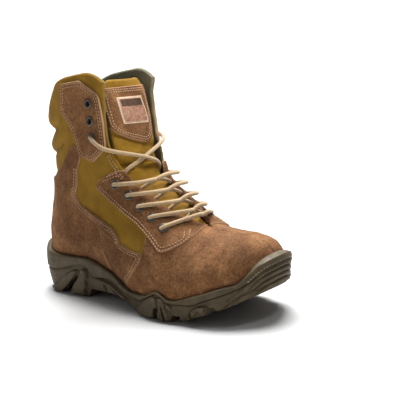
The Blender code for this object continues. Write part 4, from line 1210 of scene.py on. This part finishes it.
def make_chain():
    """Interlocked teeth along the middle of the tape."""
    tree = tree_of(zip_tape)
    corners = in_metres(ZIP_CHAIN)
    line = resampled([(a + b) / 2 for a, b in zip(corners[6:] + corners[:1], corners[5:0:-1])], TOOTH_PITCH)
    points, faces = [], []
    for index, (x, z) in enumerate(line):
        hit, normal, _, _ = tree.ray_cast(Vector((x, CAST_FROM, z)), Vector((0, -1, 0)))
        if hit is None:
            continue
        near = line[min(index + 1, len(line) - 1)] - line[max(index - 1, 0)]
        out = Vector(normal)
        across = Vector((near[0], 0, near[1])).normalized().cross(out).normalized()
        run = out.cross(across)
        shift = across * (TOOTH_SHIFT if index % 2 else -TOOTH_SHIFT)
        base = len(points)
        for lift, size in TOOTH_SHAPE:
            for a, b in ((-1, -1), (1, -1), (1, 1), (-1, 1)):
                corner = run * a * TOOTH_LENGTH + across * b * TOOTH_WIDTH
                points.append(hit + out * lift + shift + corner * size)
        faces += grid_faces(len(TOOTH_SHAPE), 4, closed=True, start=base)
        faces.append(tuple(base + 8 + corner for corner in range(4)))
    return build("zip_teeth", points, faces, (TEETH,), "black_zip", ["zip_chain"])


make_chain()


# Eyelets

EYELET_PROFILE = (
    (0.0026, -0.0030), (0.0031, -0.0034), (0.0033, 0.0020), (0.0048, 0.0024), (0.0052, 0.0027),
    (0.0051, 0.0032), (0.0045, 0.0038), (0.0037, 0.0040), (0.0030, 0.0037), (0.0026, 0.0030),
)
EYELET_SIDES = 32


def make_eyelet(side, number):
    middle, out, across, up = EYELETS[SIDES[side]][number]
    points = []
    for radius, height in (*EYELET_PROFILE, EYELET_PROFILE[0]):
        for step in range(EYELET_SIDES):
            turn = 2 * math.pi * step / EYELET_SIDES
            points.append(middle + out * height + (across * math.cos(turn) + up * math.sin(turn)) * radius)
    faces = grid_faces(len(EYELET_PROFILE) + 1, EYELET_SIDES, closed=True)
    name = f"eyelet_{side}_{number + 1}"
    return build(name + "_ring", points, faces, (STEEL,), "gunmetal", [name])


for side in SIDES:
    for number in range(len(EYELET_TABLE)):
        make_eyelet(side, number)


# Tongue

TONGUE_DENSE = np.linspace(TONGUE_TABLE[0][0], TONGUE_TABLE[-1][0], 150)
TONGUE_SIDE = np.linspace(0.9, 1, 6)
TONGUE_ACROSS = np.concatenate((-TONGUE_SIDE[::-1], np.linspace(-0.87, 0.87, 53), TONGUE_SIDE))
TONGUE_CORNER = 0.85


def tongue_grid():
    """The tongue's front, with the corners of its top rounded off."""
    low, high = TONGUE_DENSE[0], TONGUE_DENSE[-1]
    made = []
    for row in TONGUE_DENSE:
        drop = TONGUE_CORNER * ((row - low) / (high - low)) ** 8
        made.append([tongue_point(row - drop * across**4, across, 0.0) for across in TONGUE_ACROSS])
    return np.array(made)


def from_sides(points):
    """The distance of each grid point from the nearer end of its row, along the row."""
    return np.minimum(to_edge(points, 1), np.flip(to_edge(np.flip(points, 1), 1), 1))


def smoothed(points, times):
    """The grid with its rows blended a little, so that the table's steps don't show."""
    for _ in range(times):
        points[1:-1] = (points[:-2] + 2 * points[1:-1] + points[2:]) / 4
    return points


def wave_of(points):
    """The tongue's own creases, in metres out."""
    flat = points[..., FROM_FRONT]
    return 0.0008 * np.sin(flat[..., 1] * 260 + flat[..., 0] * 90) + creased(flat, TONGUE_CREASES)


TONGUE_CREASES = (
    (-0.028, 0.176, 0.020, 0.160, 0.0030, -0.0016),
    (-0.020, 0.162, 0.022, 0.156, 0.0030, -0.0014),
    (-0.026, 0.150, 0.004, 0.158, 0.0035, 0.0012),
    (-0.010, 0.146, 0.026, 0.142, 0.0030, -0.0012),
    (-0.022, 0.134, 0.020, 0.130, 0.0030, -0.0010),
)
TONGUE_BACK = 0.0070
TONGUE_TOP_ROUND = 0.0030
TONGUE_PROFILE = ((0.0, 0.5), (0.0003, 0.85), (0.0008, 1.0))
TONGUE_UNDER = 0.0014
tongue_base = smoothed(tongue_grid(), 6)
tongue_normals = grid_normals(tongue_base, -1)
tongue_normals[0] = tongue_normals[1]
if tongue_normals[len(TONGUE_DENSE) // 2, len(TONGUE_ACROSS) // 2] @ np.array((1.0, 0, 0.2)) < 0:
    tongue_normals = -tongue_normals
tongue_fall = roll_off(from_sides(tongue_base), TONGUE_BACK / 2)


def make_tongue():
    fall = np.maximum(tongue_fall, roll_off(to_edge(tongue_base, 0), TONGUE_TOP_ROUND))
    outer = tongue_base + tongue_normals * (wave_of(tongue_base) - fall)[..., None]
    inner = tongue_base - tongue_normals * (TONGUE_BACK - fall)[..., None]
    points = np.vstack((outer.reshape(-1, 3), inner.reshape(-1, 3)))
    front = grid_faces(*tongue_base.shape[:2])
    back = [tuple(corner + fall.size for corner in reversed(face)) for face in front]
    finish = [0] * len(front) + [1] * len(back)
    return build("tongue_cloth", points, front + back, (FABRIC, LINING), "mustard_fabric", ["tongue"], finish)


def tongue_overlay(name, nodes, outline, base, top, finish, radius=0.002):
    """A piece on the tongue inside an outline seen from the front, (y, z) in metres."""
    shape = rounded(outline, radius)
    places, shares = np.array(TONGUE_PROFILE).T
    data = np.concatenate((tongue_base, tongue_normals, tongue_fall[..., None]), axis=2).reshape(-1, 7)
    triangles = np.array(grid_faces(*tongue_base.shape[:2]))
    data, triangles = cut_out(data, triangles, FROM_FRONT, shape, TONGUE_PROFILE)
    inside = inside_distance(data[:, FROM_FRONT], shape)
    place, out = data[:, :3], data[:, 3:6]
    wave = wave_of(place)
    height = base - data[:, 6] + top * np.interp(inside, places, shares) + 0.3 * wave
    lower = base - data[:, 6] - TONGUE_UNDER + wave
    parts = [(triangles, place + out * height[:, None], place + out * lower[:, None], inside)]
    points, faces, values = with_skirts(parts)
    return build(name, points, faces, (finish,), "brown_suede", nodes, None, values)


make_tongue()
patch = tongue_overlay("tongue_patch_leather", ["tongue_patch"], TONGUE_PATCH, 0.0012, 0.0014, SUEDE)


def turned_in(outline, inset):
    """The outline drawn towards its middle by about this much."""
    middle = np.mean(outline, axis=0)
    return [np.array(point) - unit(point - middle) * inset for point in outline]


patch_seams = Seams("tongue_patch_stitches", THREAD, "brown_suede")
for inset in (0.0030, 0.0056):
    line = turned_in(rounded(TONGUE_PATCH, 0.002), inset)
    starts = [(CAST_FROM, y, z) for y, z in resampled([*line, line[0]], CAST_STEP)]
    sew_from(patch_seams, tree_of(patch), starts, (-1, 0, 0))
patch_seams.finish_piece()


def label_field(left, right, low, high):
    """Four corners of a part of the label, as shares across and up it."""
    corners = [np.array(point) for point in TONGUE_LABEL]

    def at(across, up):
        top = corners[0] + (corners[1] - corners[0]) * across
        bottom = corners[3] + (corners[2] - corners[3]) * across
        return bottom + (top - bottom) * up

    return [at(left, high), at(right, high), at(right, low), at(left, low)]


# The parts of the label, as shares across and up it, how far they stand out, look and corners
LABEL_PARTS = (
    ("tongue_label_frame", ["tongue_label"], (0, 1, 0, 1), 0.0022, LABEL_EDGE, 0.0008),
    ("tongue_label_field", [], (0.055, 0.945, 0.05, 0.95), 0.0027, LABEL_SUEDE, 0.0006),
    ("tongue_label_band", [], (0.09, 0.91, 0.64, 0.92), 0.0031, LABEL_DARK, 0.0006),
)
LABEL_TOP = 0.0008
for name, nodes, field, base, finish, radius in LABEL_PARTS:
    tongue_overlay(name, nodes, label_field(*field), base, LABEL_TOP, finish, radius)


# Lace

LACE_RADIUS = 0.0021
LACE_TOP = 0.0040
LACE_SIDES = 12
LACE_STEP = 0.0016
FIRST_LACED = 2
LACED_ROWS = (9.0, 24.5)


def row_at_height(height, point_of_row):
    """The row whose point is at this height, found by halving."""
    low, high = LACED_ROWS
    for _ in range(20):
        middle = (low + high) / 2
        if point_of_row(middle)[2] < height:
            low = middle
        else:
            high = middle
    return middle


def skin_at(height, around, sign, out):
    row = row_at_height(height, lambda at: upper_point(at, around, sign))
    return upper_point(row, around, sign, True, out)


def tongue_at(height, across, out):
    row = row_at_height(height, lambda at: tongue_point(at, across, 0.0))
    return tongue_point(row, across, -out)


def lace_route(number, sign, lift, bar=False):
    """A run's points: up through an eyelet, over the edge and the tongue, and under the far edge."""
    middle, out, _, _ = EYELETS[sign][number]
    end, end_out, _, _ = EYELETS[-sign][number if bar else number + 1]
    near, half, far, under = (middle[2] + (end[2] - middle[2]) * share for share in (0.22, 0.50, 0.78, 0.731))
    edge_lift = 0.5 * lift + 0.0040
    route = [middle - out * 0.007, middle - out * 0.001, middle + out * (LACE_TOP + 0.0004)]
    route += [skin_at(near, 1.0, sign, edge_lift), tongue_at(half, 0.05 * sign, lift)]
    if bar:
        route.append(skin_at(far, 1.0, -sign, edge_lift))
        return [*route, end + end_out * (LACE_TOP + 0.0006), end - end_out * 0.002, end - end_out * 0.007]
    route.append(tongue_at(under, -0.80 * sign, 0.0034))
    return [*route, end - end_out * 0.0060 + (0, 0.002 * sign, 0), end - end_out * 0.0050]


def curve_through(points, step):
    """A smooth line through the points, sampled at about this step."""
    points = np.array(points)
    ends = np.vstack((2 * points[0] - points[1], points, 2 * points[-1] - points[-2]))
    made = []
    for i in range(1, len(ends) - 2):
        a, b, c, d = ends[i - 1 : i + 3]
        count = max(3, round(np.linalg.norm(c - b) / step))
        square = 2 * a - 5 * b + 4 * c - d
        cube = 3 * b - a - 3 * c + d
        made += [b + 0.5 * ((c - a) * t + square * t**2 + cube * t**3) for t in np.arange(count) / count]
    made.append(points[-1])
    return np.array(made)


def tube(line, points, faces, turns, runs):
    """Adds a run of the lace, and each point's place round it and along it."""
    tangent = unit(np.gradient(line, axis=0))
    across = np.cross(tangent[0], (0.0, 0.3, 1.0))
    base = len(points)
    for place, direction, length in zip(line, tangent, lengths_along(line)):
        across = unit(across - direction * (across @ direction))
        up = np.cross(direction, across)
        for step in range(LACE_SIDES):
            turn = 2 * math.pi * step / LACE_SIDES
            points.append(place + (across * math.cos(turn) + up * math.sin(turn)) * LACE_RADIUS)
            turns.append(abs(2 * step / LACE_SIDES - 1))
            runs.append(length)
    faces += grid_faces(len(line), LACE_SIDES, closed=True, start=base)
    for first in (base, base + (len(line) - 1) * LACE_SIDES):
        faces.append(tuple(range(first, first + LACE_SIDES)))


def make_lace():
    points, faces, turns, runs = [], [], [], []
    last = len(EYELET_TABLE) - 1
    crossed = [(number, sign, False) for number in range(FIRST_LACED, last) for sign in SIDES.values()]
    for number, sign, bar in [*crossed, (last, SIDES["lateral"], True)]:
        lift = LACE_LIFTS[number - FIRST_LACED][0 if sign < 0 else 1]
        line = curve_through(lace_route(number, sign, lift, bar), LACE_STEP)
        tube(line, points, faces, turns, runs)
    values = {"turn": turns, "run": runs}
    return build("lace_cord", points, faces, (CORD,), "tan_cord", ["lace"], None, values)


# How far each crossing's two runs stand off the tongue, lateral run first, from the top pair down
LACE_LIFTS = ((0.0085, 0.0040), *[(0.0100, 0.0145)] * 3, (0.0095, 0.0140), (0.0100, 0.0100))
make_lace()


# Sole

SOLE_STATIONS = 220
# How far up the side each layer is: 1 at the step and 2 at the rim
SOLE_HEIGHTS = np.concatenate(
    [np.linspace(*ends) for ends in ((0, 0.2, 7), (0.23, 0.95, 32), (0.96, 1.08, 7), (1.11, 1.87, 26))]
)
LIP_START = 1.9
LIP = ((LIP_START, 0.0), (1.95, -0.0004), (1.98, -0.0010), (2.00, -0.0018), (2.00, -0.0027), (1.97, -0.0035),
       (LIP_START, -0.0040), (1.50, -0.0042))
SIDE_OUT = (
    (0.00, -0.0038), (0.04, -0.0028), (0.10, -0.0019), (0.20, -0.0012), (0.90, -0.0006),
    (0.96, -0.0014), (1.00, -0.0018), (1.04, -0.0008), (1.10, 0.0003), (1.50, 0.0007), (1.80, 0.0006),
    (1.90, 0.0002),
)
TOE_LIP = 0.9
TOE_BULGE = 0.0020
HEEL_TUCK = 0.0065
TOE_FROM = 0.9
HEEL_TO = 0.16
# The toe's bumper: its rear edge as (height, x), and its grooves below the rim
BUMPER_EDGE = ((0.0250, 0.1190), (0.0318, 0.1253), (0.0394, 0.1321), (0.0466, 0.1358), (0.0541, 0.1405),
               (0.0700, 0.1440))
BUMPER_BEVEL = 0.002
BUMPER_HEIGHT = 0.0012
BUMPER_GROOVES = (0.0135, 0.0190, 0.0245)
GROOVE_WIDTH = 0.0010
GROOVE_DEPTH = 0.0018
GROOVE_FROM = 0.130
GROOVE_FADE = 0.014
STITCH_FALL = 0.0062
STITCH_GROOVE = 0.0008
BUMPER_TURN = 0.46


def outline_at(turn):
    x = HEEL_X + SOLE_LENGTH * (1 - math.cos(turn)) / 2
    side = -1 if math.sin(turn) >= 0 else 1
    return np.array([x, sole_value("centre", x) * BALL_WIDTH + side * outline_half(x)])


def outline_offset(turn, out):
    small = 0.004
    along = outline_at(turn + small) - outline_at(turn - small)
    normal = np.array([along[1], -along[0]])
    return outline_at(turn) + unit(normal) * out


def side_height(share, x):
    tread = sole_value("tread", x) * TOE_SPRING
    step = edge_height(STEP_LINE, x)
    rim = edge_height(RIM_LINE, x)
    if share <= 1:
        return tread + (step - tread) * share
    return step + (rim - step) * (share - 1)


# Raised lugs and ribs of the sole's side, as outlines seen from the side in metres
RELIEF_HEIGHT = 0.0034
RELIEF_BEVEL = 0.0012
RELIEFS = (
    ((-0.127, 0.000), (-0.1045, 0.000), (-0.0785, 0.0265), (-0.0775, 0.0295), (-0.0862, 0.0288),
     (-0.0993, 0.0219), (-0.111, 0.0129), (-0.125, 0.006)),
    ((-0.100, 0.000), (-0.0745, 0.000), (-0.0687, 0.004), (-0.064, 0.028), (-0.0669, 0.0325),
     (-0.0738, 0.031), (-0.075, 0.025)),
    ((-0.0625, 0.0325), (-0.060, 0.0335), (-0.056, 0.025), (-0.0585, 0.0235)),
    ((-0.054, 0.0235), (-0.046, 0.0255), (-0.026, 0.0225), (-0.012, 0.0175), (0.004, 0.011),
     (0.002, 0.007), (-0.014, 0.0125), (-0.028, 0.0185), (-0.044, 0.0205)),
    ((0.020, 0.000), (0.042, 0.000), (0.049, 0.0135), (0.050, 0.0225), (0.044, 0.0245), (0.038, 0.022),
     (0.031, 0.0163), (0.020, 0.008)),
    ((0.047, 0.000), (0.061, 0.000), (0.0674, 0.015), (0.061, 0.0205), (0.056, 0.024), (0.0515, 0.024),
     (0.0502, 0.0135)),
    ((0.080, 0.004), (0.087, 0.0155), (0.094, 0.0205), (0.1045, 0.0215), (0.1025, 0.016), (0.0965, 0.011),
     (0.0955, 0.0155), (0.090, 0.009), (0.086, 0.0055)),
    ((0.111, 0.013), (0.1287, 0.030), (0.1382, 0.035), (0.142, 0.0335), (0.134, 0.027), (0.123, 0.017)),
)
# Slots cut into the side, each a line from its top to its bottom
SLOTS = (
    (-0.0407, 0.0180, -0.0375, 0.0125), (-0.0280, 0.0188, -0.0238, 0.0130),
    (-0.0150, 0.0135, -0.0115, 0.0085), (-0.0045, 0.0105, -0.0015, 0.0060),
    (0.0582, 0.0200, 0.0633, 0.0103),
)
SLOT_WIDTH = 0.0011
SLOT_DEPTH = 0.0030
GAP_BELOW = 0.004
SOLE_ANGLE = math.radians(35)


def bumper_out(x, z, rim, share):
    """How far the toe's bumper stands out, with its grooves and the one for its stitches."""
    edge_z, edge_x = np.array(BUMPER_EDGE).T
    inside = np.clip((x - np.interp(z, edge_z, edge_x)) / BUMPER_BEVEL, 0, 1)
    grooves = sum(np.exp(-(((rim - z - below) / GROOVE_WIDTH) ** 2)) for below in BUMPER_GROOVES)
    line = np.exp(-(((rim - z - STITCH_FALL) / GROOVE_WIDTH) ** 2))
    deep = GROOVE_DEPTH * np.clip((x - GROOVE_FROM) / GROOVE_FADE, 0, 1)
    return inside * (BUMPER_HEIGHT * (share < LIP_START) - deep * grooves - STITCH_GROOVE * line)


def relief_out(x, z, share, toe):
    """How far lugs and ribs stand out of the side under its step, and slots reach in."""
    flat = np.column_stack((x, z))
    raised = np.zeros(len(x))
    for shape in RELIEFS:
        inside = inside_distance(flat, [np.array(corner) for corner in shape])
        raised = np.maximum(raised, np.clip(inside / RELIEF_BEVEL, 0, 1))
    raised *= RELIEF_HEIGHT * (1 - toe) * min(1.0, share / 0.1 + 0.3)
    return raised + creased(flat, [(*slot, SLOT_WIDTH, -SLOT_DEPTH) for slot in SLOTS])


def make_sole():
    ring = 2 * SOLE_STATIONS
    turns = [math.pi * index / SOLE_STATIONS for index in range(ring)]
    outline = np.array([outline_at(turn) for turn in turns])
    outward = unit(np.array([outline_offset(turn, 0.001) for turn in turns]) - outline)
    x = outline[:, 0]
    toe = np.clip((along_sole(x) - TOE_FROM) / (1 - TOE_FROM), 0, 1)
    heel = np.clip(1 - along_sole(x) / HEEL_TO, 0, 1)
    rim = edge_height(RIM_LINE, x)
    heights, outs = np.array(SIDE_OUT).T
    points = []
    for share, out in [*zip(SOLE_HEIGHTS, np.interp(SOLE_HEIGHTS, heights, outs)), *LIP]:
        z = side_height(share, x)
        moved = np.full(ring, out)
        if share >= LIP_START:
            moved *= 1 + TOE_LIP * np.maximum(toe, heel)
        if out > LIP[3][1]:
            moved += bumper_out(x, z, rim, share)
            moved += TOE_BULGE * np.maximum(toe, 0.6 * heel) * math.sin(math.pi * min(share, 2.0) / 2)
        if share <= 1:
            moved += relief_out(x, z, share, toe) - HEEL_TUCK * heel**2 * (1 - share) ** 2
        points.append(np.column_stack((outline + outward * moved[:, None], z)))
    faces = grid_faces(len(points), ring, closed=True)
    for layer in (0, len(points) - 1):
        faces += cap(layer * ring, SOLE_STATIONS)
    made = build("outsole_rubber", np.vstack(points), faces, (RUBBER,), "olive_rubber", ["outsole"])
    face_outward(made.data)
    cut_gaps(made)
    return made


def prism(outline, y_from, y_to):
    """The points and faces of an outline seen from the side, drawn out from y_from to y_to."""
    count = len(outline)
    points = [(x, y, z) for y in (y_from, y_to) for x, z in outline]
    faces = [tuple(range(count))[::-1], tuple(range(count, 2 * count))]
    for i in range(count):
        j = (i + 1) % count
        faces.append((i, j, count + j, count + i))
    return points, faces


def gap_prisms():
    """The gaps between the lugs, as outlines seen from the side and how far they go across."""
    for values in LUG_GAPS:
        gap = dict(zip(GAP_COLUMNS, values))
        mouth = HEEL_X + gap["mouth"] * SOLE_LENGTH
        top = HEEL_X + gap["top"] * SOLE_LENGTH
        tread = sole_value("tread", mouth) * TOE_SPRING
        wide, narrow = gap["mouth_width"] / 2, gap["top_width"] / 2
        low, high = tread - GAP_BELOW, tread + gap["top_height"]
        outline = ((mouth - wide, low), (mouth + wide, low), (top + narrow, high), (top - narrow, high))
        if not gap["reach"]:
            yield outline, -BALL_WIDTH, BALL_WIDTH
            continue
        for sign in SIDES.values():
            inner = sole_value("centre", mouth) * BALL_WIDTH + sign * (outline_half(mouth) - gap["reach"])
            yield outline, min(inner, sign * BALL_WIDTH), max(inner, sign * BALL_WIDTH)


def cut_gaps(made):
    """Cuts the gaps between the lugs."""
    gaps = bpy.data.collections.new("gap_cutters")
    bpy.context.scene.collection.children.link(gaps)
    for outline, y_from, y_to in gap_prisms():
        points, faces = prism(outline, y_from, y_to)
        mesh = bpy.data.meshes.new("gap")
        mesh.from_pydata([tuple(np.add(point, CENTRING)) for point in points], [], faces)
        face_outward(mesh)
        gaps.objects.link(bpy.data.objects.new("gap", mesh))
    modifier = made.modifiers.new("gaps", "BOOLEAN")
    modifier.operand_type = "COLLECTION"
    modifier.collection = gaps
    modifier.solver = "EXACT"
    cut = bpy.data.meshes.new_from_object(made.evaluated_get(bpy.context.evaluated_depsgraph_get()))
    made.modifiers.clear()
    made.data = cut
    cut.shade_smooth()
    cut.set_sharp_from_angle(angle=SOLE_ANGLE)
    for cutter in list(gaps.objects):
        bpy.data.objects.remove(cutter, do_unlink=True)
    bpy.data.collections.remove(gaps)


def make_bumper_stitches(sole):
    """Moulded stitches in the groove under the toe's rim, in a pale rubber whose colour paints their
    highlight.
    """
    row = Seams("bumper_stitches", PAINTED_HIGHLIGHT_RUBBER, "olive_rubber")
    turns = np.linspace(math.pi - BUMPER_TURN, math.pi + BUMPER_TURN, 160)
    tree = tree_of(sole)
    line = []
    for turn in turns:
        height = float(edge_height(RIM_LINE, outline_at(turn)[0])) - STITCH_FALL
        near, far = (Vector((*outline_offset(turn, out), height)) for out in (0.0, 0.02))
        line.append(tree.ray_cast(far, near - far)[0])
    lay_stitches(row, tree, line, Vector((-1, 0, 0)))
    row.finish_piece()


sole = make_sole()
make_bumper_stitches(sole)


# Insole


INSOLE_STATIONS = 90
INSOLE_INSET = SOLE_INSET + UPPER_WALL + 0.0055
# The insole's rings from its lower face up, as (height over the bed, further in)
INSOLE_RINGS = ((0.0003, 0.0), (0.0032, 0.0), (0.0040, 0.0006), (0.0043, 0.0016))


def make_insole():
    points = []
    for lift, drawn in INSOLE_RINGS:
        for index in range(2 * INSOLE_STATIONS):
            x, y = outline_at(math.pi * index / INSOLE_STATIONS)
            beside = y - sole_value("centre", x) * BALL_WIDTH
            x *= (1 - 2 * INSOLE_INSET / SOLE_LENGTH) * (1 - 2 * drawn / SOLE_LENGTH)
            beside *= 1 - (INSOLE_INSET + drawn) / (0.5 * BALL_WIDTH)
            y = sole_value("centre", x) * BALL_WIDTH + beside
            points.append((x, y, sole_value("bed", x) * HEEL_LIFT + lift))
    faces = grid_faces(len(INSOLE_RINGS), 2 * INSOLE_STATIONS, closed=True)
    for layer in (0, len(INSOLE_RINGS) - 1):
        faces += cap(layer * 2 * INSOLE_STATIONS, INSOLE_STATIONS)
    made = build("insole_cloth", points, faces, (FOOTBED,), "grey_lining", ["insole"])
    face_outward(made.data)


make_insole()


# Floor, light and camera

AZIMUTH, ELEVATION, ROLL = math.radians(38.28), math.radians(10.95), math.radians(-3.22)
FOCAL_PIXELS = 829.8
PICTURE_PIXELS = 400
SENSOR_WIDTH = 36.0
CAMERA_PLACE = (0.5598, -0.6312, 0.2645)
WORLD_FILL = 0.16
WORLD_BACK = 1.15
KEY_POWER = 8.9
KEY_PLACE = (-0.26, 0.36, 1.0)
SIDE_POWER = 1.1
FRONT_POWER = 0.30

floor_mesh = bpy.data.meshes.new("floor")
floor_mesh.from_pydata([(-6, -6, 0), (6, -6, 0), (6, 6, 0), (-6, 6, 0)], [], [(0, 1, 2, 3)])
floor = in_scene("floor", floor_mesh)
floor_finish, floor_tree, floor_shader = new_material("pale_floor", 0.9)
floor_colour = ramp(floor_tree, noise(floor_tree, 3.0), (0.3, 0.51), (0.7, 0.53))
put(floor_tree, floor_shader.inputs["Base Color"], floor_colour)
floor_shader.inputs["Specular IOR Level"].default_value = 0.1
floor_mesh.materials.append(floor_finish)

# The world is white behind the boot, as the camera sees it, and dim elsewhere
level_out = math.cos(ELEVATION)
back = Vector((math.sin(AZIMUTH) * level_out, -math.cos(AZIMUTH) * level_out, math.sin(ELEVATION)))
world = bpy.data.worlds.new("studio")
bpy.context.scene.world = world
world.use_nodes = True
world_tree = world.node_tree
facing = world_tree.nodes.new("ShaderNodeVectorMath")
facing.operation = "DOT_PRODUCT"
facing.inputs[1].default_value = -back
put(world_tree, facing.inputs[0], world_tree.nodes.new("ShaderNodeTexCoord").outputs["Generated"])
strength = map_range(world_tree, facing.outputs["Value"], 0.70, 0.93, WORLD_FILL, WORLD_BACK)
put(world_tree, world_tree.nodes["Background"].inputs["Strength"], strength)
world_tree.nodes["Background"].inputs["Color"].default_value = opaque(1.0)
bpy.context.scene.view_settings.view_transform = "Standard"


def lamp(name, kind, power, place, target, **sizes):
    """A light at a place, aimed at a target."""
    light = bpy.data.lights.new(name, kind)
    light.energy = power
    for key, value in sizes.items():
        setattr(light, key, value)
    made = in_scene(name, light)
    made.location = place
    made.rotation_euler = (Vector(target) - Vector(place)).to_track_quat("-Z", "Y").to_euler()


lamp("key", "SUN", KEY_POWER, KEY_PLACE, (0, 0, 0), angle=math.radians(38))
lamp("side", "AREA", SIDE_POWER, (-0.75, -1.00, 0.80), (-0.03, 0.0, 0.12), size=0.8)
lamp("front", "AREA", FRONT_POWER, (0.36, 0.10, 0.75), (-0.03, 0.0, 0.205), size=0.2, spread=math.radians(38))

right = Vector((math.cos(AZIMUTH), math.sin(AZIMUTH), 0.0))
up = back.cross(right)
turned_right = right * math.cos(ROLL) + up * math.sin(ROLL)
turned_up = up * math.cos(ROLL) - right * math.sin(ROLL)
lens = bpy.data.cameras.new("camera")
lens.sensor_width = SENSOR_WIDTH
lens.lens = FOCAL_PIXELS / PICTURE_PIXELS * SENSOR_WIDTH
lens.clip_start = 0.01
camera = in_scene("camera", lens)
placed = Matrix((turned_right, turned_up, back)).transposed().to_4x4()
placed.translation = Vector(CAMERA_PLACE) + Vector(CENTRING)
camera.matrix_world = placed
bpy.context.scene.camera = camera
